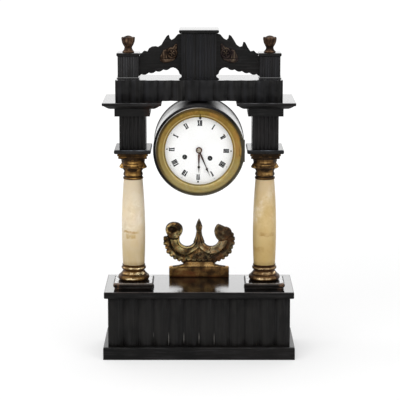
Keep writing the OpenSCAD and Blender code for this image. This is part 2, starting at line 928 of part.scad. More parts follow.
// Enamel disc with the centre hole, two winding holes, the regulator hole and three feet
module dial() {
    color([0.96, 0.96, 0.93]) {
        difference() {
            rod([0, 0], dial_r, y_dial, y_dial + dial_t);
            rod([0, 0], 4.4, y_dial - 1, y_dial + dial_t + 1);
            rod(going, wind_hole_r, y_dial - 1, y_dial + dial_t + 1);
            rod(strike, wind_hole_r, y_dial - 1, y_dial + dial_t + 1);
            rod(regulator, regulator_r + curve_gap, y_dial - 1, y_dial + dial_t + 1);
        }
        for (a = [60, 180, 300])
            rod(46 * [sin(a), cos(a)], 1.5, y_dial + dial_t - eps, y_plate);
    }
}

// Hinged rear cover with a pull knob
module rear_cover() {
    color(brass)
        difference() {
            union() {
                rod([0, 0], drum_in - 0.6, y_cover, y_cover + cover_t);
                rod([54, 0], 3, y_cover + cover_t - eps, y_cover + cover_t + 3);
                for (s = [-1, 1])
                    translate([-hinge_x, y_cover_hinge, z_drum + s * 10 - 4])
                        cylinder(r = hinge_r, h = 8);
                for (s = [-1, 1])
                    block(-hinge_x, 4 - bezel_r, y_cover, y_cover + cover_t,
                        z_drum + s * 10 - 4, z_drum + s * 10 + 4);
            }
            translate([-hinge_x, y_cover_hinge, z_drum - 20])
                cylinder(r = pin_r + run_fit, h = 40);
        }
}

// Front plate with four riveted pillars
module front_plate() {
    color(brass)
        difference() {
            union() {
                rod([0, 0], plate_r, y_plate, y_plate_in);
                for (a = [-151, -57, 57, 151])
                    rod(pillar_at * [sin(a), cos(a)], pillar_r, y_plate_in - eps, y_plate_back);
            }
            for (p = [third, escape, anchor_at, motion])
                rod(p, arbor_r + run_fit, y_plate - 1, y_plate_in + 1);
            rod([0, 0], 2 + run_fit, y_plate - 1, y_plate_in + 1);
            for (p = [going, strike])
                rod(p, wind_r + run_fit, y_plate - 1, y_plate_in + 1);
            rod(regulator, regulator_r + run_fit, y_plate - 1, y_plate_in + 1);
        }
}

// Back plate with the bell post
module back_plate() {
    color(brass) {
        difference() {
            rod([0, 0], back_plate_r, y_plate_back, y_rear);
            for (p = [[0, 0], third, escape, anchor_at, hammer_at])
                rod(p, arbor_r + run_fit, y_plate_back - 1, y_rear + 1);
            for (p = [going, strike])
                rod(p, wind_r + run_fit, y_plate_back - 1, y_rear + 1);
            rod(regulator, regulator_r + curve_gap, y_plate_back - 1, y_rear + 1);
        }
        rod(bell_at, 2, y_rear - eps, y_rear + 36);
        rod(bell_at, 4, y_rear + 33, y_rear + 36);
    }
}

// Spring barrel with its great wheel, bored for the winding arbor
module barrel(p, y0, y1, wheel_y, wheel_t, n, m, phase) {
    color(brass)
        difference() {
            union() {
                rod(p, barrel_r, y0, y1);
                plate(p, wheel_y, wheel_y + wheel_t)
                    polygon(teeth(n, m * (n / 2 - 1.15), m * (n / 2 + 0.8), phase));
            }
            rod(p, barrel_r - 1.4, y0 + 1.6, y1 - 1.6);
            rod(p, wind_r + run_fit, y0 - 5, y1 + 5);
        }
}

great_m = module_of(going, [0, 0], great_n, centre_pinion_n);
y_great = y_plate_back - 7;

module going_barrel() {
    barrel(going, y_great - 18, y_great + eps, y_great, 3, great_n, great_m, bearing(going, [0, 0]));
}

module strike_barrel() {
    barrel(strike, y_plate_in + 8, y_plate_in + 26, y_plate_in + 5, 3 + eps, 78, 0.5, 0);
}

// Winding arbor with a spring hook and a square for the key
module winding_arbor(p, y_hook) {
    color(steel) {
        rod(p, wind_r, y_plate - 1.5, y_rear + 1);
        translate([p[0], y_dial - 1.2, z_drum + p[1]])
            rotate([0, 20, 0])
                block(-1.5, 1.5, 0, y_plate - y_dial, -1.5, 1.5);
        rod(p, 5, y_hook, y_hook + 8);
    }
}

module going_arbor() {
    winding_arbor(going, y_great - 13);
}

module strike_arbor() {
    winding_arbor(strike, y_plate_in + 13);
}

centre_m = module_of([0, 0], third, centre_n, third_pinion_n);
third_m = module_of(third, escape, third_n, escape_pinion_n);

// Centre arbor with the driven pinion and the centre wheel
module centre_wheel() {
    color(brass) {
        rod([0, 0], arbor_r, y_dial - 4, y_rear + 1);
        pinion([0, 0], centre_pinion_n, great_m, y_great - 0.5, y_great + 3.5,
            bearing([0, 0], going) + 180 / centre_pinion_n);
        difference() {
            gear([0, 0], centre_n, centre_m, y_plate_in + 1.5, y_plate_in + 3, bearing([0, 0], third), 1);
            windows([0, 0], 8.6, 4, y_plate_in, y_plate_in + 4);
        }
    }
}

module third_wheel() {
    color(brass) {
        rod(third, arbor_r, y_plate_in - 1.6, y_rear - 0.4);
        pinion(third, third_pinion_n, centre_m, y_plate_in + 1, y_plate_in + 4,
            bearing(third, [0, 0]) + 180 / third_pinion_n);
        difference() {
            gear(third, third_n, third_m, y_plate_back - 9.2, y_plate_back - 7.8, bearing(third, escape), 1);
            windows(third, 6.8, 3, y_plate_back - 10, y_plate_back - 7);
        }
    }
}

// Escape wheel with thirty raked teeth
module escape_wheel() {
    y0 = y_plate_back - 4;
    color(brass) {
        rod(escape, arbor_r, y_plate_in - 1.6, y_rear - 0.4);
        pinion(escape, escape_pinion_n, third_m, y_plate_back - 10, y_plate_back - 7,
            bearing(escape, third) + 180 / escape_pinion_n);
        difference() {
            plate(escape, y0, y0 + 1.2)
                polygon([for (i = [0 : 29], p = [[0, -2], [2.5, 0], [3.4, 0], [5, -2]])
                    let (a = 12 * i + p[0]) (escape_r + p[1]) * [sin(a), cos(a)]]);
            windows(escape, 5.4, 2.2, y0, y0 + 2);
        }
    }
}

// Anchor over the escape wheel, with its arbor and the crutch behind the back plate
module anchor() {
    rise = anchor_at[1] - escape[1];
    y0 = y_plate_back - 4;
    color(steel) {
        rod(anchor_at, arbor_r, y_plate_in - 1.6, y_rear + 8);
        plate(escape, y0, y0 + 1.2)
            polygon(concat(arc([0, 0], escape_r + 1, 34, 146, 16),
                arc([0, 0], escape_r + 3.4, 146, 34, 16)));
        plate(escape, y0, y0 + 1.2)
            polygon([[-2, escape_r + 2], [2, escape_r + 2], [2, rise], [-2, rise]]);
        rod(anchor_at, 3, y0, y0 + 1.2);
        plate(anchor_at, y_rear + 4, y_rear + 6)
            polygon([[-1.2, 2], [1.2, 2], [1.2, -44], [3.4, -46], [3.4, -54], [2, -54], [2, -47], [-2, -47],
                [-2, -54], [-3.4, -54], [-3.4, -46], [-1.2, -44]]);
    }
}

motion_m = module_of([0, 0], motion, cannon_n, minute_n);
motion_m2 = module_of([0, 0], motion, hour_n, minute_pinion_n);

// Cannon pinion on the centre arbor, carrying the minute hand
module cannon_pinion() {
    color(steel)
        difference() {
            union() {
                rod([0, 0], 2.2, y_dial - 3.8, y_plate - 1);
                pinion([0, 0], cannon_n, motion_m, y_plate - 3.4, y_plate - 1.2, bearing([0, 0], motion));
            }
            rod([0, 0], arbor_r + run_fit, y_dial - 9, y_plate + 1);
        }
}

module minute_wheel() {
    color(brass) {
        rod(motion, arbor_r, y_plate - 6.4, y_plate + 1.4);
        gear(motion, minute_n, motion_m, y_plate - 3, y_plate - 1.6,
            bearing(motion, [0, 0]) + 180 / minute_n, 1);
        pinion(motion, minute_pinion_n, motion_m2, y_plate - 6.2, y_plate - 2.8, bearing(motion, [0, 0]));
    }
}

module hour_wheel() {
    color(brass)
        difference() {
            union() {
                gear([0, 0], hour_n, motion_m2, y_plate - 5.8, y_plate - 4.4,
                    bearing([0, 0], motion) + 180 / hour_n, 1);
                rod([0, 0], 3.6, y_dial - 2.2, y_plate - 4.4);
            }
            rod([0, 0], 2.2 + run_fit, y_dial - 9, y_plate);
        }
}

// Slim spear-shaped hand of length r with a small cross, bored for its pipe
module hand(r, cross, angle, y0, bore, boss) {
    difference() {
        union() {
            translate([0, y0 + 0.8, z_drum])
                rotate([90, angle, 0])
                    linear_extrude(0.8)
                        polygon([[-1.3, 0], [-0.7, cross - 3], [-2.2, cross], [-0.8, cross + 2.4],
                            [-0.9, cross + 4], [0, r], [0.9, cross + 4], [0.8, cross + 2.4], [2.2, cross],
                            [0.7, cross - 3], [1.3, 0]]);
            rod([0, 0], boss, y0, y0 + 0.8);
        }
        rod([0, 0], bore, y0 - 1, y0 + 2);
    }
}

module minute_hand() {
    color(copper)
        hand(minute_len, 0.71 * minute_len, minute_angle, y_dial - 3.6, 2.2 + curve_gap, 4.4);
}

module hour_hand() {
    color(copper)
        hand(hour_len, 0.73 * hour_len, hour_angle, y_dial - 2, 3.6 + curve_gap, 5.2);
}

// Arbor from the dial to the suspension above the back plate
module regulator_arbor() {
    color(steel) {
        rod(regulator, regulator_r, y_dial - 0.6, y_rear + 9);
        rod(regulator, 3, y_rear + 3, y_rear + 9);
    }
}

// Cup bell on the post behind the back plate
module bell() {
    y0 = y_rear + 12;
    y1 = y_rear + 33;
    color(brass)
        translate([bell_at[0], 0, z_drum + bell_at[1]])
            rotate([-90, 0, 0])
                rotate_extrude()
                    polygon(concat(
                        [[2 + curve_gap, y1], [2 + curve_gap, y1 - 1.4]],
                        [for (q = arc([0, 0], 1, 90, 0, 8)) if (q[0] > 0.2)
                            [(bell_r - 1.6) * q[0], y0 + (y1 - 1.4 - y0) * q[1]]],
                        [for (q = arc([0, 0], 1, 0, 90, 8)) if (q[0] > 0.2)
                            [bell_r * q[0], y0 + (y1 - y0) * q[1]]]));
}

// Hammer arbor with its arm and head beside the bell rim
module hammer() {
    drop = hammer_at[1] - bell_at[1] - 6;
    head_x = sqrt(bell_r * bell_r - 36) + 0.8;
    color(steel) {
        rod(hammer_at, arbor_r, y_plate_back - 3, y_rear + 17);
        plate(hammer_at, y_rear + 14, y_rear + 17)
            polygon([[-1.6, 2], [1.6, 2], [head_x + 4 - hammer_at[0], -drop],
                [head_x + 1 - hammer_at[0], -drop]]);
        translate([head_x, y_rear + 15.5, z_drum + hammer_at[1] - drop])
            rotate([0, 90, 0])
                cylinder(r = 2.6, h = 8);
    }
}

base_plinth();
base_front();
base_side_left();
base_side_right();
base_back();
base_top();
column_plinth_left();
column_plinth_right();
column_base_left();
column_base_right();
column_shaft_left();
column_shaft_right();
capital_left();
capital_right();
abacus_left();
abacus_right();
rear_pillar_left();
rear_pillar_right();
pilaster_left();
pilaster_right();
cornice_left();
cornice_right();
beam();
post_left();
post_right();
post_cap_left();
post_cap_right();
finial_left();
finial_right();
centre_block();
centre_cap();
crest_wing_left();
crest_wing_right();
wing_mount_left();
wing_mount_right();
scroll_ornament();
drum_shell();
dial_ring();
bezel();
dial_glass();
dial();
rear_cover();
front_plate();
back_plate();
going_barrel();
going_arbor();
strike_barrel();
strike_arbor();
centre_wheel();
third_wheel();
escape_wheel();
anchor();
cannon_pinion();
minute_wheel();
hour_wheel();
minute_hand();
hour_hand();
regulator_arbor();
bell();
hammer();
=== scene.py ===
import math
import bpy
import numpy as np
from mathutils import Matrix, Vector


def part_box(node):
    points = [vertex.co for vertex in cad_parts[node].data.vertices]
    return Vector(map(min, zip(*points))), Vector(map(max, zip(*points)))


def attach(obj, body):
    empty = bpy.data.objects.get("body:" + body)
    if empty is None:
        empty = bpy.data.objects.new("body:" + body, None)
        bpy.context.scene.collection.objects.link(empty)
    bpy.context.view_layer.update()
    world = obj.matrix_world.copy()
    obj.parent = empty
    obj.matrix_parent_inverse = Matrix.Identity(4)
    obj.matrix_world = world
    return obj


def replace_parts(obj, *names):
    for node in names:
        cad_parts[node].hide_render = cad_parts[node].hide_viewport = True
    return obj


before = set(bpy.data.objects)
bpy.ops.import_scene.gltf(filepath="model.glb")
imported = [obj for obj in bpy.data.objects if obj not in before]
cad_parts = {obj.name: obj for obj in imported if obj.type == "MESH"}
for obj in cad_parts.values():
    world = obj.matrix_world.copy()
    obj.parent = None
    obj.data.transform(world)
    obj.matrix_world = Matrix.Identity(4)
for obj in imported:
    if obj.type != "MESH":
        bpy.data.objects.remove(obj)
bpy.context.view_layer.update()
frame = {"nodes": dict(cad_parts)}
nodes = frame["nodes"]
MM = 0.001
COLUMN_X, COLUMN_Y = 108.5, -17.0      # axis of a column, mm
CAPITAL_Z = 294.2                      # foot of a capital, mm
SHAFT_FOOT, SHAFT_MID = 0.1525, 0.235  # heights on a shaft
DIAL_Z = 0.347                         # height of the dial's centre
BEAM_FOOT = 0.395                      # height at which the drum meets the beam
DRUM_LIP, REAR_BEAD = -0.0567, 0.055   # depths on the drum


# node helpers: a value is a socket to link or a constant to set
class Tree:
    def __init__(self, owner, clear=False):
        owner.use_nodes = True
        self.nt = owner.node_tree
        self._obj = None
        if clear:
            self.nt.nodes.clear()

    def put(self, socket, v):
        if isinstance(v, bpy.types.NodeSocket):
            self.nt.links.new(v, socket)
        elif isinstance(v, (tuple, list)) and len(v) == 3 and socket.type == "RGBA":
            socket.default_value = (*v, 1.0)
        else:
            socket.default_value = v

    def new(self, kind, inputs=(), **props):
        n = self.nt.nodes.new("ShaderNode" + kind)
        for k, v in props.items():
            setattr(n, k, v)
        for k, v in dict(inputs).items():
            self.put(n.inputs[k], v)
        return n

    def obj(self):
        if self._obj is None:
            self._obj = self.new("TexCoord").outputs["Object"]
        return self._obj

    def mapped(self, scale, loc=(0, 0, 0)):
        return self.new("Mapping", {"Vector": self.obj(), "Location": loc, "Scale": scale}).outputs["Vector"]

    def part(self, vector, which):
        return self.new("SeparateXYZ", {0: vector}).outputs["XYZ".index(which)]

    def axis(self, which):
        return self.part(self.obj(), which)

    def normal(self, which):
        return self.part(self.new("NewGeometry").outputs["Normal"], which)

    def math(self, op, a, b=0.0):
        return self.new("Math", {0: a, 1: b}, operation=op).outputs[0]

    def mul(self, a, *more):
        for b in more:
            a = self.math("MULTIPLY", a, b)
        return a

    def add(self, a, b):
        return self.math("ADD", a, b)

    def sub(self, a, b):
        return self.math("SUBTRACT", a, b)

    def off(self, v, centre=0.0):
        """Distance of a value from a centre."""
        return self.math("ABSOLUTE", self.sub(v, centre))

    def radius(self, x, z):
        return self.math("SQRT", self.add(self.mul(x, x), self.mul(z, z)))

    def span(self, v, a, b, c=0.0, d=1.0, kind="SMOOTHSTEP"):
        """c to d while the value goes from a to b."""
        return self.new("MapRange", dict(enumerate((v, a, b, c, d))), interpolation_type=kind).outputs[0]

    def near(self, v, centre, half, soft):
        return self.span(self.off(v, centre), half, half + soft, 1.0, 0.0)

    def noise(self, scale, detail=3.0, rough=0.55, warp=0.0, vec=None):
        return self.new("TexNoise", {"Vector": vec or self.obj(), "Scale": scale, "Detail": detail,
                                     "Roughness": rough, "Distortion": warp}).outputs["Fac"]

    def patch(self, scale, a, b, c=0.0, d=1.0, *more):
        """Patches of noise: c to d between two of its levels."""
        return self.span(self.noise(scale, *more), a, b, c, d)

    def rings(self, rad, scale, detail):
        """Noise that changes with the radius only, as marks of a lathe do."""
        return self.noise(scale, detail, 0.7, 0.0, self.new("CombineXYZ", {0: rad}).outputs[0])

    def ramp(self, fac, *stops):
        n = self.new("ValToRGB", {"Fac": fac})
        e = n.color_ramp.elements
        while len(e) < len(stops):
            e.new(0.5)
        for el, (pos, col) in zip(e, stops):
            el.position = pos
            el.color = (*col, 1.0)
        return n.outputs["Color"]

    def mix(self, fac, a, b, blend="MIX"):
        return self.new("Mix", {0: fac, 6: a, 7: b}, data_type="RGBA", blend_type=blend).outputs[2]


class Mat(Tree):
    """A material: a colour in layers (col), and the settings of its shader."""

    def __init__(self, name):
        self.m = bpy.data.materials.new(name)
        super().__init__(self.m)
        self.p = next(n for n in self.nt.nodes if n.type == "BSDF_PRINCIPLED")

    def base(self, n, a, b):
        self.col = self.mix(self.span(n, 0.35, 0.7), a, b)

    def lay(self, mask, colour, blend="MIX"):
        self.col = self.mix(mask, self.col, colour, blend)

    def fade(self, v, a, b, amount, colour):
        """Lay a colour that comes in while the value goes from a to b."""
        self.lay(self.span(v, a, b, 0.0, amount), colour)

    def bump(self, height, dist, strength, after=None):
        n = self.new("Bump", {"Strength": strength, "Distance": dist, "Height": height})
        if after is not None:
            self.put(n.inputs["Normal"], after)
        self.put(self.p.inputs["Normal"], n.outputs[0])
        return n.outputs[0]

    def set(self, **settings):
        self.put(self.p.inputs["Base Color"], self.col)
        for k, v in settings.items():
            self.put(self.p.inputs[k.replace("_", " ")], v)

    def done(self, bump=None, **settings):
        self.set(**settings)
        if bump:
            self.bump(*bump)
        return self.m


# materials
GRAIN = {"X": ((6, 60, 60), (25, 25, 420)), "Z": ((60, 60, 6), (420, 420, 14))}


def wood(name, rough=(0.36, 0.5), coat=(0.05, 1.0), tint=(0.0040, 0.0039, 0.0038), wear=(), grain="X",
         top_rough=0.13, coat_ior=1.5, coat_rough=0.08, rim=None):
    """Black-stained wood: dull on upright faces, with the polish kept on faces that look up."""
    m = Mat(name)
    pores, threads = GRAIN[grain]
    g = m.noise(6.0, 4.0, 0.6, 0.4, m.mapped(pores))
    up = m.span(m.normal("Z"), 0.3, 0.75)
    m.base(m.noise(18.0), tuple(c * 0.6 for c in tint), (tint[0] * 1.9, tint[1] * 1.75, tint[2] * 1.7))
    m.fade(g, 0.45, 0.75, 0.5, (0.011, 0.0092, 0.0084))
    thread = m.noise(1.0, 3.0, 0.6, 0.0, m.mapped(threads))
    m.fade(thread, 0.52, 0.66, 0.55, (0.0185, 0.0180, 0.0190))
    m.fade(thread, 0.45, 0.36, 0.6, (0.0012, 0.0011, 0.0011))
    dust = m.patch(420.0, 0.66, 0.74, 0.0, 0.25, 2.0)
    m.lay(dust, (0.032, 0.029, 0.027))
    for mark in wear:
        mark(m)
    dull = m.patch(45.0, 0.3, 0.7, *rough)
    r = m.add(m.mul(dull, m.sub(1.0, up)), m.mul(up, top_rough))
    gloss = m.span(up, 0.0, 1.0, *coat)
    if rim:
        mask = rim(m)
        gloss = m.mul(gloss, m.sub(1.0, mask))
        r = m.add(r, m.mul(mask, 0.3))
    return m.done((m.add(m.mul(g, 0.5), m.noise(900.0, 2.0)), 0.00004, 0.5),
                  Roughness=r, Coat_Weight=gloss, Specular_IOR_Level=0.13, Coat_Roughness=coat_rough,
                  Coat_IOR=coat_ior)


def drum_black():
    """Lacquered drum: the polish survives on its flanks and is dull along the top, under the beam."""
    m = Mat("drum_black")
    x, y, z = (m.axis(a) for a in "XYZ")
    fine = m.noise(300.0, 2.0)
    flank = m.mul(m.span(m.off(x), 0.014, 0.048), m.span(m.normal("Y"), -0.7, -0.3))
    m.base(m.noise(30.0), (0.0035, 0.0034, 0.0036), (0.009, 0.0085, 0.008))
    # painted sheen: lighter along the drum's top, above where it meets the beam
    m.fade(z, BEAM_FOOT, BEAM_FOOT + 0.015, 0.7, (0.019, 0.0185, 0.020))
    # painted highlight: a pale grey band round the rear bead
    m.fade(y, REAR_BEAD - 0.0005, REAR_BEAD + 0.0005, 0.8, (0.14, 0.133, 0.125))
    # painted highlight: a pale line on the left of the drum's front lip
    painted_light = m.mul(m.near(y, DRUM_LIP, 0.0004, 0.0005), m.span(x, 0.03, -0.02))
    m.lay(m.mul(painted_light, m.patch(40.0, 0.35, 0.6, 0.2, 0.8)), (0.20, 0.185, 0.165))
    low = m.span(m.sub(m.sub(z, DIAL_Z), x), 0.01, -0.06)
    worn = m.mul(low, m.span(y, DRUM_LIP - 0.0004, DRUM_LIP - 0.0008))
    m.lay(m.mul(worn, m.patch(40.0, 0.35, 0.6, 0.5, 1.0)), (0.075, 0.065, 0.04))
    dull = m.span(fine, 0.3, 0.7, 0.5, 0.62)
    shine = m.span(fine, 0.3, 0.7, 0.2, 0.27)
    r = m.add(m.mul(dull, m.sub(1.0, flank)), m.mul(shine, flank))
    gloss = m.mul(flank, m.span(y, 0.035, -0.03, 0.2, 0.95))
    left = m.mul(m.span(x, 0.01, -0.01, 0.0, 0.62), m.near(y, 0.004, 0.007, 0.011))
    right = m.mul(m.span(x, -0.01, 0.01, 0.0, 0.6), m.near(y, 0.030, 0.0025, 0.004))
    gloss = m.mul(gloss, m.sub(m.sub(1.0, left), right))
    return m.done((fine, 0.00003, 0.4),
                  Roughness=r, Coat_Weight=gloss, Specular_IOR_Level=0.12, Coat_Roughness=0.15)


def alabaster(name, pale, warm, veins, foot, head, axis, edge):
    """Alabaster round an upright axis: cloudy, veined, yellow towards both sides, browner towards the foot
    and brown-gold along its lowest edge.
    """
    m = Mat(name)
    x, z = m.axis("X"), m.axis("Z")
    cloud = m.noise(22.0, 4.0, 0.6, 0.8, m.mapped((1, 1, 0.55), (0, 0, 0.3)))
    m.col = m.mix(m.span(cloud, 0.36, 0.66), pale, warm)
    fine = m.noise(160.0, 3.0, 0.6, 0.3)
    m.fade(fine, 0.5, 0.75, 0.25, tuple(c * 0.8 for c in warm))
    for z0, slope, half, colour, amount, at, wide in veins:
        wob = m.mul(m.sub(m.noise(60.0), 0.5), 0.009)
        line = m.add(m.add(z, m.mul(x, slope)), wob)
        broken = m.patch(90.0, 0.35, 0.65, 0.25, 1.0, 2.0)
        v = m.mul(m.near(line, z0, half, half * 2.2), broken, m.near(x, at, wide, wide * 0.8))
        m.lay(m.mul(v, amount), colour)
    m.fade(z, SHAFT_MID, 0.165, 0.8, foot)
    m.fade(z, SHAFT_MID, 0.29, 0.85, head)
    m.lay(m.mul(m.patch(70.0, 0.47, 0.64, 0.0, 1.0, 4.0, 0.65, 0.6), 0.3), edge)
    side = m.span(m.off(x, axis), 0.011, 0.0215, 0.0, 0.5)
    m.lay(m.mul(side, m.patch(48.0, 0.35, 0.6, 0.3, 1.0, 3.0, 0.6)), edge)
    hem = m.add(z, m.mul(fine, 0.006))
    m.fade(hem, SHAFT_FOOT + 0.011, SHAFT_FOOT + 0.002, 0.55, (0.25, 0.165, 0.055))
    smear = m.noise(1.0, 3.0, 0.6, 0.0, m.mapped((130, 130, 22)))
    m.fade(smear, 0.5, 0.7, 0.3, tuple(c * 0.84 for c in warm))
    return m.done((fine, 0.00003, 0.4),
                  Roughness=m.span(cloud, 0.3, 0.7, 0.26, 0.4), Specular_IOR_Level=0.25,
                  Subsurface_Weight=0.25, Subsurface_Radius=(0.006, 0.004, 0.0025))


def gilding(name, deep, mid, bright, metal=(0.2, 0.9), rough=(0.5, 0.3), bias=0.0, cavity_and_light=False, sides=False,
            bands=(), marks=(), dents=0.0, cloud=1.0, dirt=0.55):
    """Worn gilding: dull brown in the hollows, brighter and more metallic where it is rubbed; its bands and
    marks are painted highlights and painted shade.
    """
    m = Mat(name)
    big = m.noise(38.0, 4.0, 0.6, 0.6)
    fine = m.noise(260.0, 3.0, 0.6)
    level = m.add(m.mul(big, 0.7 * cloud), m.mul(fine, 0.3 * cloud))
    level = m.add(level, 0.5 * (1 - cloud))
    if cavity_and_light:
        # the attribute read here: darker in the carving's hollows, plus painted highlights and painted shade
        # from its tone
        cav = m.new("Attribute", attribute_name="cav").outputs["Fac"]
        level = m.add(level, m.mul(m.sub(cav, 0.5), 0.85))
    # bands: painted shade (-) and painted highlights (+) round the piece at given heights
    for z, half, soft, amount in bands:
        level = m.add(level, m.mul(m.near(m.axis("Z"), z, half, soft), amount))
    # marks: painted highlights (+) and painted shade (-), with wavering edges
    if marks:
        sway = m.mul(m.sub(m.noise(150.0, 3.0, 0.6), 0.5), 0.007)
        x, z = m.add(m.axis("X"), sway), m.add(m.axis("Z"), m.mul(sway, 0.4))
    for at_x, at_z, wide, high, amount in marks:
        painted_light = m.mul(m.near(x, at_x, 0.5 * wide, wide), m.near(z, at_z, 0.5 * high, high))
        level = m.add(level, m.mul(painted_light, amount))
    level = m.add(level, bias)
    m.col = m.ramp(level, (0.28, deep), (0.48, mid), (0.7, bright))
    stain = m.patch(120.0, 0.52, 0.68, 0.0, dirt, 4.0, 0.65, 0.5)
    m.lay(stain, tuple(0.5 * (a + b) for a, b in zip(deep, mid)))
    if sides:
        ornament_tones(m, level, big, fine)
    m.set(Roughness=m.span(level, 0.35, 0.75, *rough), Metallic=m.span(level, 0.42, 0.7, *metal),
          Specular_IOR_Level=0.08)
    worn = m.bump(m.add(fine, m.noise(700.0, 2.0)), 0.00012, 0.5)
    if dents:
        m.bump(m.noise(105.0, 3.0, 0.6, 0.4), dents, 0.8, worn)
    return m.m


def ornament_tones(m, level, big, fine):
    """Olive on the left, brown and rusty on the right, golden slope and reddish edge at the foot."""
    x, z = m.add(m.axis("X"), m.mul(m.sub(big, 0.5), 0.05)), m.axis("Z")
    olive = m.mul(m.span(x, -0.03, 0.012, 1.0, 0.0), m.patch(70.0, 0.42, 0.6, 0.4, 0.8, 2.0))
    m.lay(olive, (0.42, 0.40, 0.24), "OVERLAY")
    m.fade(x, 0.004, 0.04, 0.62, (0.070, 0.043, 0.025))
    mottle = m.ramp(m.noise(120.0, 4.0, 0.7, 0.6), (0.40, (0.33, 0.38, 0.36)), (0.5, (0.5, 0.5, 0.5)),
                    (0.60, (0.68, 0.45, 0.28)))
    m.lay(0.8, mottle, "OVERLAY")
    rust = m.mul(m.span(x, -0.012, 0.02), m.patch(64.0, 0.5, 0.66, 0.0, 0.3, 3.0, 0.6, 0.5))
    m.lay(rust, (0.16, 0.075, 0.03))
    gold = m.ramp(level, (0.28, (0.045, 0.021, 0.007)), (0.46, (0.17, 0.085, 0.024)),
                  (0.66, (0.50, 0.28, 0.09)))
    m.fade(z, 0.1425, 0.1375, 0.7, gold)
    low = m.span(m.add(z, m.mul(fine, 0.004)), 0.129, 0.126)
    streaks = m.noise(1.0, 3.0, 0.6, 0.3, m.mapped((26, 60, 95)))
    m.lay(m.mul(low, m.span(streaks, 0.46, 0.64, 0.0, 0.6)), (0.13, 0.042, 0.016))


def metal(name, a, b, rough=(0.22, 0.36), scale=60.0):
    m = Mat(name)
    m.base(m.noise(scale, 3.0, 0.55, 0.3), a, b)
    s = m.noise(500.0, 2.0, 0.5)
    return m.done((s, 0.00003, 0.35), Roughness=m.span(s, 0.3, 0.7, *rough), Metallic=1.0)


def cover_metal():
    """Turned brass gone brown towards the rim, with fine rings from the lathe."""
    m = Mat("cover_brass")
    rad = m.radius(m.axis("X"), m.sub(m.axis("Z"), DIAL_Z))
    turned = m.rings(rad, 520.0, 4.0)
    stain = m.noise(55.0, 5.0, 0.7, 0.1)
    m.col = m.mix(m.span(turned, 0.34, 0.66), (0.37, 0.265, 0.108), (0.27, 0.188, 0.074))
    m.fade(stain, 0.46, 0.7, 0.5, (0.20, 0.135, 0.055))
    m.fade(rad, 0.048, 0.0625, 0.65, (0.12, 0.078, 0.033))
    m.lay(m.patch(240.0, 0.6, 0.7, 0.0, 0.55), (0.09, 0.06, 0.03))
    return m.done((turned, 0.00006, 0.7), Metallic=1.0, Roughness=m.span(stain, 0.3, 0.7, 0.3, 0.46))


def hand_metal(name, tip, red):
    """Copper-red near the centre, black along the blade, rubbed bright at the thin tip."""
    m = Mat(name)
    rad = m.radius(m.axis("X"), m.sub(m.axis("Z"), DIAL_Z))
    n = m.noise(200.0)
    m.base(n, (0.010, 0.006, 0.005), (0.026, 0.013, 0.010))
    m.fade(rad, 0.022, 0.012, red, (0.11, 0.034, 0.024))
    m.fade(rad, tip, tip + 0.001, 0.75, (0.42, 0.40, 0.37))
    return m.done((n, 0.00003, 0.35),
                  Roughness=m.span(n, 0.3, 0.7, 0.44, 0.6), Metallic=m.span(rad, tip, tip + 0.001, 0.25, 0.8),
                  Specular_IOR_Level=0.15)


def arbor_metal(node, centre):
    """Black winding square with the bright turning centre in its end."""
    m = Mat("steel_" + node)
    low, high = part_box(node)
    rad = m.radius(m.sub(m.axis("X"), (low[0] + high[0]) / 2), m.sub(m.axis("Z"), (low[2] + high[2]) / 2))
    n = m.noise(260.0)
    m.base(n, (0.004, 0.004, 0.005), (0.012, 0.012, 0.014))
    end = m.mul(m.span(rad, centre + 0.0003, centre), m.span(m.axis("Y"), low[1] + 0.0008, low[1] + 0.0003))
    m.lay(end, (0.34, 0.34, 0.34))
    return m.done((n, 0.00003, 0.35), Roughness=m.span(n, 0.3, 0.7, 0.5, 0.65), Specular_IOR_Level=0.1)


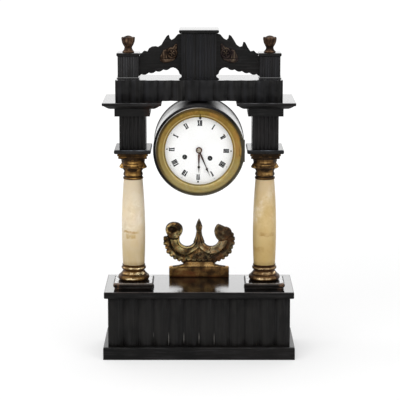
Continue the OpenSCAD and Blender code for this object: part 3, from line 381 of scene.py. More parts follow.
def bezel_metal():
    """Turned brass, worn and dirty along its rings, with painted reflection: paler below and browner above;
    painted highlights and shade at its edges.
    """
    m = Mat("bezel_brass")
    x, z = m.axis("X"), m.sub(m.axis("Z"), DIAL_Z)
    rad, left = m.radius(x, z), m.sub(z, x)
    # painted reflection: paler below, browner above
    level = m.add(z, m.mul(m.sub(m.noise(30.0), 0.5), 0.04))
    m.col = m.ramp(m.span(level, -0.07, 0.07), (0.0, (0.36, 0.295, 0.13)), (0.42, (0.36, 0.265, 0.09)),
                   (0.7, (0.32, 0.205, 0.052)), (1.0, (0.21, 0.125, 0.026)))
    warm = m.mul(m.span(m.add(x, z), 0.01, 0.07), m.patch(45.0, 0.42, 0.62, 0.0, 0.6))
    m.lay(warm, (0.40, 0.20, 0.055))
    m.fade(x, -0.035, -0.065, 0.35, (0.20, 0.145, 0.05))
    m.lay(m.patch(220.0, 0.58, 0.72, 0.0, 0.35), (0.2, 0.135, 0.05))
    # painted shade at the inner edge and a painted highlight beside it
    m.fade(rad, 0.0576, 0.0564, 0.6, (0.135, 0.105, 0.04))
    m.lay(m.mul(m.near(rad, 0.0582, 0.0004, 0.0007), 0.7), (0.62, 0.51, 0.25))
    m.lay(m.span(m.rings(rad, 700.0, 3.0), 0.5, 0.66, 0.0, 0.3), (0.17, 0.115, 0.04))
    m.lay(m.patch(150.0, 0.5, 0.62, 0.0, 0.35, 3.0, 0.6, 0.3), (0.33, 0.25, 0.05))
    m.lay(m.patch(170.0, 0.48, 0.38, 0.0, 0.3, 3.0, 0.6, 0.3), (0.43, 0.25, 0.07))
    # painted shade at the outer edge, dark painted reflection on the outer slope at the upper left and of the
    # regulator hole at XII, a painted highlight on the arris at the upper left
    m.fade(rad, 0.0679, 0.0696, 0.85, (0.085, 0.060, 0.028))
    m.lay(m.mul(m.span(rad, 0.0646, 0.0668), m.span(left, -0.02, 0.05, 0.0, 0.88)), (0.062, 0.041, 0.015))
    streak = m.mul(m.near(x, 0.002, 0.0009, 0.0006), m.span(z, 0.050, 0.054, 0.0, 0.75))
    m.lay(m.mul(streak, m.span(rad, 0.0605, 0.0595)), (0.05, 0.038, 0.012))
    arris = m.mul(m.span(rad, 0.0696, 0.0699), m.span(left, 0.045, 0.095, 0.0, 0.8))
    m.lay(arris, (0.60, 0.575, 0.53))
    hinge = m.mul(m.span(rad, 0.0682, 0.0694), m.near(z, 0.0, 0.0184, 0.0006), m.span(x, 0.05, 0.055))
    m.lay(hinge, (0.042, 0.036, 0.024))
    return m.done((m.noise(400.0, 2.0), 0.00003, 0.4),
                  Metallic=m.sub(m.sub(1.0, hinge), arris), Specular_IOR_Level=0.15,
                  Roughness=m.add(m.patch(120.0, 0.3, 0.7, 0.46, 0.56), m.mul(hinge, 0.25)))


def enamel():
    m = Mat("enamel")
    n = m.noise(40.0)
    m.base(n, (0.955, 0.955, 0.95), (0.93, 0.93, 0.92))
    craze = m.patch(300.0, 0.64, 0.72, 0.0, 0.1, 2.0)
    m.lay(craze, (0.62, 0.6, 0.55))
    return m.done((n, 0.00005, 0.3), Roughness=m.span(n, 0.3, 0.7, 0.14, 0.22), Coat_Weight=0.4)


def glass():
    m = Mat("glass")
    n = m.noise(60.0, 2.0)
    m.col = m.mix(n, (0.30, 0.32, 0.32), (0.36, 0.38, 0.38))
    return m.done(Roughness=m.span(n, 0.3, 0.7, 0.015, 0.035), Alpha=0.03)


def paint(name, a, b, rough=(0.3, 0.45)):
    m = Mat(name)
    n = m.noise(300.0)
    m.base(n, a, b)
    return m.done((n, 0.00002, 0.3), Roughness=m.span(n, 0.3, 0.7, *rough), Specular_IOR_Level=0.12)


# wear, painted highlights and painted shade on the wood
def groove_glints(m):
    """Painted glints on the arrises low down in some grooves of the reeded front."""
    lo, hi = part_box("base_front")
    x = m.axis("X")
    u = m.math("FRACT", m.math("DIVIDE", m.sub(x, lo[0]), (hi[0] - lo[0]) / BASE_REEDS))
    mask = m.mul(m.span(m.off(u, 0.5), 0.474, 0.488), m.near(m.axis("Z"), lo[2] + 0.012, 0.003, 0.010),
                 m.near(x, -0.03, 0.05, 0.02), m.patch(30.0, 0.4, 0.52, 0.0, 0.75, 2.0))
    m.lay(mask, (0.20, 0.19, 0.175))


def brown_wear(m):
    """Stain rubbed through to brown wood beside the beam."""
    mask = m.mul(m.near(m.axis("X"), -0.074, 0.010, 0.010), m.span(m.axis("Z"), BEAM_FOOT, BEAM_FOOT + 0.01),
                 m.patch(90.0, 0.4, 0.6, 0.05, 0.5))
    m.lay(mask, (0.030, 0.013, 0.008))


def reeds(node, count, margin=0.0, crest=(0.010, 0.010, 0.0115), groove=0.8, cut=0.43):
    """Tone of a reeded front: each reed a little different, a painted sheen beside its crest, painted shade
    in the grooves.
    """
    lo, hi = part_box(node)
    pitch = (hi[0] - lo[0] - 2 * margin) / count

    def wear(m):
        u = m.math("DIVIDE", m.sub(m.axis("X"), lo[0] + margin), pitch)
        across = m.math("FRACT", u)
        lot = m.new("TexWhiteNoise", noise_dimensions="1D")
        m.put(lot.inputs["W"], m.math("FLOOR", u))
        m.lay(m.span(lot.outputs["Value"], 0.2, 1.0, 0.0, 0.55), crest)
        sheen = m.mul(m.near(across, 0.3, 0.05, 0.16), m.patch(25.0, 0.35, 0.65, 0.1, 0.7, 2.0))
        m.lay(sheen, tuple(1.5 * c for c in crest))
        m.lay(m.span(m.off(across, 0.5), cut, 0.495, 0.0, groove), (0.0009, 0.0009, 0.0009))
    return wear


def chipped_corner(node, side):
    """Black worn through to brown wood at one front corner of a block."""
    low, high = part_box(node)
    corner = high[0] if side > 0 else low[0]

    def wear(m):
        gone = m.mul(m.near(m.axis("X"), corner, 0.006, 0.009), m.span(m.axis("Y"), low[1] + 0.012, low[1]),
                     m.patch(190.0, 0.44, 0.6, 0.0, 0.85, 4.0, 0.65, 0.4))
        m.lay(gone, (0.155, 0.082, 0.046))
    return wear


def dull_rim(node, reach):
    """Polish lost along the two side edges of a piece's upper face, and in small patches elsewhere on it."""
    lo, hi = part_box(node)
    half = 0.5 * (hi[0] - lo[0])

    def mask(m):
        off = m.off(m.axis("X"), 0.5 * (lo[0] + hi[0]))
        edge = m.mul(m.span(off, half - 1.3 * reach, half - 0.7 * reach), m.patch(160.0, 0.36, 0.46))
        return m.math("MAXIMUM", edge, m.patch(240.0, 0.48, 0.62, 0.0, 0.75, 3.0, 0.6))
    return mask


def lower_arris(node, height, colour):
    """A pale line on the arris where the front face of a piece steps in: painted highlight and rubbed stain.
    """
    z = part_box(node)[0][2] + height

    def wear(m):
        m.lay(m.mul(m.near(m.axis("Z"), z, 0.0003, 0.0004), m.patch(70.0, 0.35, 0.6, 0.2, 0.8)), colour)
    return wear


def edge_wear_and_highlight(node, colour=(0.11, 0.11, 0.115), amount=0.75, reach=0.0012):
    """Painted highlight and stain rubbed thin along the front arris of a piece's upper face."""
    lo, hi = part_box(node)

    def wear(m):
        mask = m.mul(m.span(m.axis("Z"), hi[2] - reach, hi[2] - 0.3 * reach),
                     m.span(m.axis("Y"), lo[1] + reach, lo[1] + 0.3 * reach),
                     m.patch(55.0, 0.35, 0.65, 0.15, amount))
        m.lay(mask, colour)
    return wear


# which node has which material
BASE_REEDS = BEAM_REEDS = CENTRE_REEDS = 12
POST_REEDS = 8
# a lighter black for the right post and pilaster: painted sheen
SHEEN_BLACK = dict(grain="Z", tint=(0.0062, 0.006, 0.0063), rough=(0.32, 0.44))
LOOK = dict.fromkeys(nodes, wood("ebonised_wood"))


def use(material, *names):
    LOOK.update(dict.fromkeys(names, material))
    return material


use(wood("ebonised_upright", grain="Z"), "base_side_left", "base_side_right", "rear_pillar_left",
    "rear_pillar_right", "pilaster_left")
use(wood("ebonised_top", rough=(0.25, 0.35), coat=(0.08, 1.0), top_rough=0.09), "post_cap_left",
    "post_cap_right", "centre_cap")
use(wood("ebonised_reeds", grain="Z", wear=(
    reeds("base_front", BASE_REEDS, crest=(0.0085, 0.008, 0.0075), groove=0.6, cut=0.47), groove_glints)),
    "base_front")
use(wood("ebonised_beam", grain="Z", coat=(0.02, 1.0), coat_ior=2.1,
         wear=(reeds("beam", BEAM_REEDS),)), "beam")
use(wood("ebonised_block", grain="Z",
         wear=(reeds("centre_block", CENTRE_REEDS, 2.5 * MM, (0.011, 0.0115, 0.0145)),)), "centre_block")
CORNICE_L = use(wood("ebonised_cornice_left", wear=(brown_wear, edge_wear_and_highlight("cornice_left"))), "cornice_left")
CORNICE_R = use(wood("ebonised_cornice_right", wear=(edge_wear_and_highlight("cornice_right"),)), "cornice_right")
use(wood("ebonised_plinth", coat=(0.02, 0.04), top_rough=0.3,
         wear=(edge_wear_and_highlight("base_plinth", (0.16, 0.155, 0.15)),)), "base_plinth")
use(wood("ebonised_base_top", rough=(0.3, 0.42), coat=(0.0, 0.5), coat_rough=0.13,
         wear=(edge_wear_and_highlight("base_top", (0.115, 0.085, 0.078), 0.6),)), "base_top")
for n, top_coat in (("abacus_left", 0.12), ("abacus_right", 0.6)):
    use(wood("ebonised_" + n, rough=(0.25, 0.35), coat=(0.08, top_coat), top_rough=0.25,
             wear=(edge_wear_and_highlight(n, (0.17, 0.185, 0.21), 0.85, 2 * MM),)), n)
for n, side in (("column_plinth_left", -1), ("column_plinth_right", 1)):
    use(wood("ebonised_" + n, top_rough=0.1, tint=(0.0085, 0.0065, 0.005), rim=dull_rim(n, 2.4 * MM),
             wear=(edge_wear_and_highlight(n, (0.15, 0.115, 0.085), 0.85, 3 * MM), chipped_corner(n, side),
                   lower_arris(n, 3.7 * MM, (0.055, 0.055, 0.052)))), n)
# painted sheen: the left post's black is lighter still
use(wood("ebonised_sheen_left", grain="Z", tint=(0.010, 0.0098, 0.0098), rough=(0.3, 0.42),
         wear=(reeds("post_left", POST_REEDS, 2 * MM, (0.032, 0.032, 0.034)),)), "post_left")
use(wood("ebonised_sheen_right", wear=(reeds("post_right", POST_REEDS, 2 * MM, (0.019, 0.019, 0.022)),),
         **SHEEN_BLACK), "post_right")
use(wood("ebonised_pilaster_right", **SHEEN_BLACK), "pilaster_right")
use(drum_black(), "drum_shell")

# a vein: height, slope, half width, colour, amount, middle in x and half length
VEINS_L = [(0.2007, 0.0, 0.0017, (0.42, 0.235, 0.035), 0.9, -0.1125, 0.0055),
           (0.2043, 0.03, 0.0010, (0.40, 0.22, 0.04), 0.9, -0.112, 0.0085),
           (0.3160, -1.0, 0.0009, (0.38, 0.23, 0.07), 0.7, -0.1135, 0.004),
           (0.1555, -0.22, 0.0009, (0.40, 0.26, 0.10), 0.6, -0.117, 0.007),
           (0.262, -0.3, 0.004, (0.66, 0.50, 0.36), 0.25, -0.108, 0.03)]
VEINS_R = [(0.2096, 0.05, 0.0014, (0.31, 0.16, 0.03), 1.0, 0.1115, 0.009),
           (0.1735, -0.05, 0.0021, (0.26, 0.125, 0.02), 1.0, 0.0985, 0.006),
           (0.0852, -1.6, 0.006, (0.82, 0.72, 0.54), 0.75, 0.11, 0.03),
           (0.0600, -1.6, 0.007, (0.50, 0.34, 0.13), 0.35, 0.11, 0.03)]
use(alabaster("alabaster_left", (0.80, 0.71, 0.57), (0.73, 0.61, 0.43), VEINS_L, (0.45, 0.335, 0.165),
              (0.60, 0.50, 0.355), -COLUMN_X * MM, (0.56, 0.42, 0.20)), "column_shaft_left")
use(alabaster("alabaster_right", (0.66, 0.51, 0.275), (0.56, 0.405, 0.175), VEINS_R, (0.44, 0.305, 0.11),
              (0.55, 0.425, 0.26), COLUMN_X * MM, (0.45, 0.29, 0.09)), "column_shaft_right")


def both_sides(*marks):
    return tuple((side * x, *rest) for side in (-1, 1) for x, *rest in marks)


def marks_at(x, z, marks):
    """Painted highlights (+) and painted shade (-), in mm from one point of the model: place, size and
    amount.
    """
    return [(x + a * MM, z + b * MM, c * MM, d * MM, amount) for a, b, c, d, amount in marks]


FOOT_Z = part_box("column_base_left")[0][2]
# bands round the feet: painted shade in grooves (-) and painted highlights on rounds (+); height, half height
# and softness in mm, and amount
FOOT_BANDS = [(FOOT_Z + a * MM, b * MM, c * MM, d) for a, b, c, d in (
    (16.8, 0.6, 1.2, -0.3), (0.8, 0.6, 1.6, -0.3), (25.6, 0.6, 1.0, -0.1), (10.0, 0.3, 0.8, -0.2),
    (12.4, 0.6, 1.2, 0.1), (5.6, 0.6, 1.6, 0.1), (21.6, 0.6, 1.0, 0.14))]
# marks on the feet: painted shade towards both sides, painted highlights on ring, slope and torus
FOOT_SIDES = both_sides((23.5, 10, 4.5, 16, -0.34))
FOOT_L = FOOT_SIDES + ((11, 12.4, 6.0, 2.0, 0.46), (-4, 5.0, 6.5, 1.2, 0.24), (-4, 21.5, 3.5, 1.0, 0.24),
                       (11, 21.0, 4, 1.0, 0.15), (-3, 13.5, 2.5, 1.2, 0.14))
FOOT_R = FOOT_SIDES + ((-7.6, 5.2, 3.2, 1.2, 0.36), (5, 5.0, 5, 1.0, 0.1), (3, 14.0, 8, 1.2, 0.15),
                       (15.5, 13.5, 1.5, 1.2, 0.3), (0, 21.0, 12, 0.9, 0.12), (-7, 20.6, 3, 0.9, 0.15))
FOOT = dict(metal=(0.75, 1.0), rough=(0.42, 0.2), bands=FOOT_BANDS, dents=0.0012, cloud=0.7, dirt=0.2)
use(gilding("gilt_foot_left", (0.050, 0.022, 0.007), (0.20, 0.112, 0.038), (0.86, 0.69, 0.41), bias=-0.1,
            marks=marks_at(-COLUMN_X * MM, FOOT_Z, FOOT_L), **FOOT), "column_base_left")
use(gilding("gilt_foot_right", (0.040, 0.018, 0.008), (0.140, 0.075, 0.030), (0.68, 0.50, 0.28), bias=-0.13,
            marks=marks_at(COLUMN_X * MM, FOOT_Z, FOOT_R), **FOOT), "column_base_right")
# marks on the capitals: painted shade at the sides and under the front leaf, painted highlights on leaf lips,
# lobes, bands and slab horns
CAP_SIDES = both_sides((16, 10, 3, 7, -0.17), (18, 33, 4, 4, -0.17), (19, 22, 2, 2, 0.18))
CAP_MARKS_L = CAP_SIDES + ((-0.5, 27.8, 7, 1.2, 0.14), (2.4, 23.6, 7, 0.6, 0.12), (3, 19.7, 6, 0.6, 0.16),
                           (-0.6, 16.0, 6.5, 1.8, -0.24), (10, 16.5, 3, 1.6, 0.1), (0, 9, 7.5, 2.0, 0.12),
                           (0, 3, 5, 0.8, 0.2), (-15, 38.4, 5, 1.4, 0.14), (0, 32.6, 12, 1.0, -0.12))
CAP_MARKS_R = CAP_SIDES + ((0, 30.4, 8, 2.0, 0.03), (0, 17.2, 12, 0.8, -0.2), (0, 11.2, 10, 2.2, 0.12),
                           (4.8, 10.3, 5, 1.6, 0.08), (16, 22, 1.5, 1.2, 0.2), (0, 39, 20, 3.0, -0.1),
                           (-7.5, 39.4, 3, 1.2, 0.2), (7.5, 39.4, 3, 1.2, 0.2))
CAP = dict(cavity_and_light=True, dents=0.0004, cloud=0.55, dirt=0.2)
CAP_L = gilding("gilt_capital_left", (0.022, 0.011, 0.004), (0.16, 0.080, 0.021), (0.58, 0.35, 0.11),
                bias=-0.1, marks=marks_at(-COLUMN_X * MM, CAPITAL_Z * MM, CAP_MARKS_L), **CAP)
CAP_R = gilding("gilt_capital_right", (0.020, 0.011, 0.005), (0.135, 0.071, 0.023), (0.45, 0.28, 0.105),
                bias=-0.13, marks=marks_at(COLUMN_X * MM, CAPITAL_Z * MM, CAP_MARKS_R), **CAP)
ORN_GILT = gilding("gilt_ornament", (0.022, 0.014, 0.009), (0.175, 0.122, 0.061), (0.63, 0.52, 0.30),
                   cavity_and_light=True, sides=True, bias=-0.1, rough=(0.5, 0.24), dents=0.0006)
COPPER_L, COPPER_R, MOUNT_L, MOUNT_R = (
    gilding("copper_" + name, *tones, cavity_and_light=True, metal=(0.1, shine), bias=bias)
    for name, shine, bias, tones in (
        ("carved", 0.7, -0.15, ((0.012, 0.006, 0.004), (0.064, 0.034, 0.019), (0.25, 0.160, 0.098))),
        ("carved_right", 0.7, -0.15, ((0.010, 0.005, 0.003), (0.050, 0.026, 0.014), (0.20, 0.125, 0.075))),
        ("mount_left", 0.5, -0.1, ((0.006, 0.003, 0.002), (0.040, 0.023, 0.013), (0.135, 0.092, 0.062))),
        ("mount_right", 0.4, -0.1, ((0.007, 0.004, 0.004), (0.026, 0.017, 0.016), (0.085, 0.062, 0.042)))))
# these nodes are replaced by carved pieces below
use(gilding("gilt", (0.045, 0.024, 0.011), (0.22, 0.125, 0.045), (0.55, 0.36, 0.14)), "capital_left",
    "capital_right", "scroll_ornament")
use(COPPER_L, "finial_left", "finial_right", "wing_mount_left", "wing_mount_right")

use(bezel_metal(), "dial_ring", "bezel")
use(cover_metal(), "rear_cover")
use(metal("movement_brass", (0.56, 0.41, 0.175), (0.44, 0.315, 0.13), (0.26, 0.42), 45.0), "back_plate",
    "going_barrel", "strike_barrel", "centre_wheel", "third_wheel", "escape_wheel", "minute_wheel",
    "hour_wheel", "bell")
use(metal("steel", (0.45, 0.45, 0.47), (0.56, 0.56, 0.57)), "anchor", "cannon_pinion", "hammer")
# painted shade: the front plate is near black, so the winding holes look dark
use(metal("painted_shade_plate", (0.022, 0.016, 0.008), (0.04, 0.028, 0.013), (0.45, 0.6)), "front_plate")
use(enamel(), "dial")
use(glass(), "dial_glass")
HOUR_HAND = use(hand_metal("hour_hand_metal", 0.0295, 0.8), "hour_hand")
MINUTE_HAND = use(hand_metal("minute_hand_metal", 0.0385, 0.25), "minute_hand")
for n, centre in (("going_arbor", 0.0005), ("strike_arbor", 0.0005), ("regulator_arbor", 0.0001)):
    use(arbor_metal(n, centre), n)
BOSS = metal("boss_brass", (0.30, 0.25, 0.18), (0.46, 0.39, 0.29), (0.3, 0.42), 200.0)
CHIP = paint("dial_chip", (0.30, 0.27, 0.22), (0.45, 0.42, 0.36), (0.7, 0.85))
INK = paint("dial_ink", (0.004, 0.004, 0.005), (0.011, 0.011, 0.012))
for n, o in nodes.items():
    if not o.data.materials:
        o.data.materials.append(LOOK[n])
    for slot in o.material_slots:
        slot.material = LOOK[n]

# widths of softened edges, mm
SOFT_EDGE = dict(base_plinth=0.9, base_top=1.2, base_front=0.5, beam=0.5, centre_block=0.4, centre_cap=0.6)
for n, width in dict(column_plinth=1.6, abacus=0.8, pilaster=0.5, cornice=0.5, post=0.5, post_cap=0.6,
                     crest_wing=0.7).items():
    SOFT_EDGE[n + "_left"] = SOFT_EDGE[n + "_right"] = width
for n, width in SOFT_EDGE.items():
    nodes[n].modifiers.new("weld", "WELD").merge_threshold = 2e-6
    bevel = nodes[n].modifiers.new("soft_edge", "BEVEL")
    bevel.width = width * MM
    bevel.segments = 2
    bevel.limit_method = "ANGLE"
    bevel.angle_limit = math.radians(38)


# mesh helper
def piece(name, verts, faces, material, body, smooth=True, attrs=None):
    me = bpy.data.meshes.new(name)
    me.from_pydata([tuple(v) for v in verts], [], [tuple(f) for f in faces])
    me.validate()
    me.update()
    for p in me.polygons:
        p.use_smooth = smooth
    for k, vals in (attrs or {}).items():
        a = me.attributes.new(k, "FLOAT", "POINT")
        a.data.foreach_set("value", np.asarray(vals, dtype=np.float32))
    me.materials.append(material)
    o = bpy.data.objects.new(name, me)
    bpy.context.scene.collection.objects.link(o)
    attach(o, body)
    return o


# dial markings: outlines in mm from the dial's centre, x to the right and z up
DIAL_TURN = math.radians(1.7)
INK_FRONT, INK_BACK = -0.05212, -0.05198  # depths: the dial's face is at -0.052
HOLE_EDGE_FRONT, CHIP_FRONT, HOLE_SHADE_BACK = -0.05214, -0.05210, -0.0506
BOSS_FRONT, BOSS_BACK = -0.05605, -0.05555
HOUR_BLADE_FRONT, MINUTE_BLADE_FRONT, BLADE_THICK = -0.05403, -0.05563, 0.00086
HOURS = ["XII", "I", "II", "III", "IIII", "V", "VI", "VII", "VIII", "IX", "X", "XI"]


def slab(poly, y0, y1):
    n = len(poly)
    v = [(x * MM, y, z * MM + DIAL_Z) for y in (y0, y1) for x, z in poly]
    f = [tuple(range(n)), tuple(range(2 * n - 1, n - 1, -1))]
    f += [(i, i + n, (i + 1) % n + n, (i + 1) % n) for i in range(n)]
    return v, f


def on_dial(name, polys, material, y0=INK_FRONT, y1=INK_BACK, body="case"):
    V, F = [], []
    for k, poly in enumerate(polys):
        v, f = slab(poly, y0 - k * 1e-7, y1)
        F += [tuple(i + len(V) for i in q) for q in f]
        V += v
    piece(name, V, F, material, body, smooth=False)


def stroke(x0, z0, x1, z1, w):
    d = Vector((x1 - x0, z1 - z0)).normalized()
    s = Vector((-d.y, d.x)) * w / 2
    return [(x0 - s.x, z0 - s.y), (x1 - s.x, z1 - s.y), (x1 + s.x, z1 + s.y), (x0 + s.x, z0 + s.y)]


def numeral(text, h):
    """Strokes of a Roman numeral, standing on z = 0 and centred on x = 0."""
    thick, thin, serif = 0.215 * h, 0.085 * h, 0.075 * h
    wide = {"I": 0.245 * h, "V": 0.385 * h, "X": 0.41 * h}
    x = -sum(wide[c] for c in text) / 2
    out = []
    for c in text:
        w = wide[c]
        a, b = x + 0.08 * w, x + 0.92 * w
        m = (a + b) / 2
        if c == "I":
            out.append(stroke(m, 0, m, h, thick))
        elif c == "V":
            out.append(stroke(a + thick * 0.4, h, m, 0, thick))
            out.append(stroke(b - thin, h, m + thin * 0.3, 0, thin))
        else:
            out.append(stroke(a + thick * 0.4, h, b - thick * 0.4, 0, thick))
            out.append(stroke(a + thin, 0, b - thin, h, thin))
        if c != "V":
            out.append(stroke(x + 0.02 * w, serif / 2, x + 0.98 * w, serif / 2, serif))
        out.append(stroke(x + 0.02 * w, h - serif / 2, x + 0.98 * w, h - serif / 2, serif))
        x += w
    return out


def spin(poly, a):
    c, s = math.cos(a), math.sin(a)
    return [(x * c + z * s, -x * s + z * c) for x, z in poly]


def dot(r, a, size, n=16):
    return [(r * math.sin(a) + size * math.cos(t), r * math.cos(a) + size * math.sin(t))
            for t in (2 * math.pi * i / n for i in range(n))]


def ring(count, wide, r0, r1, cx=0.0, cz=0.0):
    """A flat ring of quads that overlap a little, each as wide as that many radians."""
    step = 2 * math.pi / count
    return [[(cx + r * math.cos(step * i + k), cz + r * math.sin(step * i + k))
             for r, k in ((r0, 0), (r1, 0), (r1, wide), (r0, wide))] for i in range(count)]


on_dial("dial_numerals", [spin([(x, z + 39.7) for x, z in poly], math.radians(30 * i) + DIAL_TURN)
                          for i, text in enumerate(HOURS) for poly in numeral(text, 9.1)], INK)
dots = []
for i in range(5, 60, 5):
    a = math.radians(6 * i) + DIAL_TURN
    large = 1.6 if i == 30 else 1.2
    dots.append(dot(52.0, a, large) if i % 15 == 0 else dot(52.6, a, 0.55))
on_dial("dial_dots", dots, INK)
# a black ring round the regulator hole, with dark wedges above and below it: painted shade round the hole
on_dial("regulator_hole_edge", ring(15, 0.42, 1.45, 2.3, 2.0, 53.3) + [
    [(0.7, 55.2), (3.5, 55.2), (3.0, 57.0), (1.4, 57.0)],
    [(0.3, 51.8), (3.7, 51.8), (2.6, 50.0), (1.6, 50.0)]],
    INK, HOLE_EDGE_FRONT)
# black tubes in the winding holes, each with a black ring on the dial: painted shade in the holes
for side, cx, cz in (("left", -23.2, -11.3), ("right", 17.9, -13.4)):
    on_dial("winding_hole_shade_" + side, ring(21, 0.3, 3.0, 4.05, cx, cz), INK, y1=HOLE_SHADE_BACK)
on_dial("hand_boss_ring", ring(24, 0.27, 1.9, 3.5), BOSS, BOSS_FRONT, BOSS_BACK, "minute")
# leaf-shaped blades of the hands, from the boss to the cross piece: distance and half width
HOUR_BLADE = [(4.4, 0.9), (9.0, 1.65), (14.0, 1.5), (20.0, 0.95), (25.6, 0.5)]
MINUTE_BLADE = [(4.0, 0.9), (10.0, 1.5), (16.0, 1.4), (24.0, 0.95), (31.4, 0.5)]
for body, blade, turn, y0, material in (("hour", HOUR_BLADE, 180.6, HOUR_BLADE_FRONT, HOUR_HAND),
                                        ("minute", MINUTE_BLADE, 157.3, MINUTE_BLADE_FRONT, MINUTE_HAND)):
    leaf = [(w, r) for r, w in blade] + [(-w, r) for r, w in blade[::-1]]
    on_dial(body + "_hand_blade", [spin(leaf, math.radians(turn))], material, y0, y0 + BLADE_THICK, body)
on_dial("dial_chip", [[(39.6, 23.4), (41.6, 22.8), (42.4, 24.4), (41.8, 26.4), (39.8, 26.8), (38.8, 25.2)]],
        CHIP, CHIP_FRONT)


# carved pieces: distance fields and reliefs, in millimetres
def gauss(d, width):
    return np.exp(-(d / width) ** 2)


def spot(P, cx, cz, x2, z2):
    """A soft oval: x2 and z2 are the squares of its half widths."""
    return np.exp(-((P[0] - cx) ** 2 / x2 + (P[1] - cz) ** 2 / z2))


def lerp(a, b, t):
    return a * (1 - t) + b * t


def around(n):
    return np.linspace(0, 2 * np.pi, n, endpoint=False)[None, :]


def d_circle(P, c, r):
    return np.hypot(P[0] - c[0], P[1] - c[1]) - r


def angle(P, c):
    return np.arctan2(P[1] - c[1], P[0] - c[0])


def d_line(P, a, b):
    ax, az, bx, bz = *a, *b
    t = np.clip(((P[0] - ax) * (bx - ax) + (P[1] - az) * (bz - az)) / ((bx - ax) ** 2 + (bz - az) ** 2), 0, 1)
    return np.hypot(P[0] - ax - t * (bx - ax), P[1] - az - t * (bz - az))


def d_poly(P, pts):
    d = np.full(P[0].shape, 1e9)
    inside = np.zeros(P[0].shape, bool)
    for (ax, az), (bx, bz) in zip(pts, pts[1:] + pts[:1]):
        d = np.minimum(d, d_line(P, (ax, az), (bx, bz)))
        if az != bz:
            inside ^= ((az > P[1]) != (bz > P[1])) & (P[0] < (bx - ax) * (P[1] - az) / (bz - az) + ax)
    return np.where(inside, -d, d)


def arc(c, r, a0, a1, n):
    return [(c[0] + r * math.cos(math.radians(a0 + (a1 - a0) * i / n)),
             c[1] + r * math.sin(math.radians(a0 + (a1 - a0) * i / n))) for i in range(n + 1)]


def step01(x, a, b):
    t = np.clip((x - a) / (b - a), 0, 1)
    return t * t * (3 - 2 * t)


def dome(d, r):
    return np.sqrt(np.clip(1 - (d / r) ** 2, 0, 1))


def smooth_grid(H, n):
    for _ in range(n):
        p = np.pad(H, 1, mode="edge")
        H = (p[:-2, 1:-1] + p[2:, 1:-1] + p[1:-1, :-2] + p[1:-1, 2:] + 4 * H) / 8
    return H


def relief(node, sdf, front, back, box, step, origin, material, cav_gain, tone, flip=1):
    """A carved slab in place of a node: sdf < 0 inside its outline; front and back are its depths."""
    xs = np.arange(box[0], box[1] + step, step)
    zs = np.arange(box[2], box[3] + step, step)
    X, Z = np.meshgrid(xs, zs)
    e = 0.05  # half step for the slope of the field
    for _ in range(3):  # grid points near the outline are pulled onto it
        S = sdf((X, Z))
        gx = (sdf((X + e, Z)) - sdf((X - e, Z))) / (2 * e)
        gz = (sdf((X, Z + e)) - sdf((X, Z - e))) / (2 * e)
        g = np.maximum(gx * gx + gz * gz, 0.2)
        near = (S > -0.4 * step) & (S < 0.9 * step)
        X = np.where(near, X - S * gx / g, X)
        Z = np.where(near, Z - S * gz / g, Z)
    S = sdf((X, Z))
    on = S < 0.25 * step
    F = front((X, Z), np.maximum(-S, 0))
    B = back((X, Z), np.maximum(-S, 0))
    # darker in the carving's hollows, plus its tone, which for the ornament holds painted highlights and
    # painted shade
    cav = np.clip(0.5 + cav_gain * (F - smooth_grid(F, 14)) + tone((X, Z)), 0, 1)
    q = on[:-1, :-1] & on[1:, :-1] & on[:-1, 1:] & on[1:, 1:]
    idx = -np.ones(X.shape, int)
    used = np.zeros(X.shape, bool)
    for dj in (0, 1):
        for di in (0, 1):
            used[dj:used.shape[0] - 1 + dj, di:used.shape[1] - 1 + di] |= q
    n = int(used.sum())
    idx[used] = np.arange(n)
    ox, oy, oz = origin
    vx, vz = flip * X[used] + ox, Z[used] + oz
    V = np.concatenate([np.c_[vx, oy - F[used], vz], np.c_[vx, oy + B[used], vz]]) * MM
    J, I = np.nonzero(q)
    a, b, c, d = idx[J, I], idx[J, I + 1], idx[J + 1, I + 1], idx[J + 1, I]
    faces = np.concatenate([np.c_[a, b, c, d], np.c_[d, c, b, a] + n])
    edges = {}
    for e0, e1 in ((a, b), (b, c), (c, d), (d, a)):
        for s, t in zip(e0.tolist(), e1.tolist()):
            if edges.pop((t, s), None) is None:
                edges[(s, t)] = True
    walls = [(t, s, s + n, t + n) for s, t in edges]
    faces = [tuple(f) for f in faces.tolist()] + walls
    if flip < 0:
        faces = [f[::-1] for f in faces]
    o = piece("carved_" + node, V, faces, material, "case", attrs={"cav": np.tile(cav[used], 2)})
    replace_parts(o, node)


def turned_grid(name, node, R, Zs, centre, material, cav_gain, tone):
    """A closed carved round in place of a node: radii and heights by ring and angle, from the front."""
    m, n = R.shape
    X = centre[0] + R * np.sin(around(n))
    Y = centre[1] - R * np.cos(around(n))
    Z = centre[2] + Zs
    W = R.copy()
    for _ in range(12):
        p = np.pad(W, ((1, 1), (0, 0)), mode="edge")
        W = (p[:-2] + p[2:] + np.roll(W, 1, 1) + np.roll(W, -1, 1) + 4 * W) / 8
    # darker in the hollows, plus the tone, which for the capitals holds painted highlights and painted shade
    cav = np.clip(0.5 + cav_gain * (R - W) + tone, 0, 1)
    V = np.stack([X, Y, Z], -1).reshape(-1, 3) * MM
    faces = []
    for j in range(m - 1):
        for i in range(n):
            k = (i + 1) % n
            faces.append((j * n + i, j * n + k, (j + 1) * n + k, (j + 1) * n + i))
    faces.append(tuple(range(n - 1, -1, -1)))
    faces.append(tuple((m - 1) * n + i for i in range(n)))
    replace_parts(piece(name, V, faces, material, "case", attrs={"cav": cav.ravel()}), node)


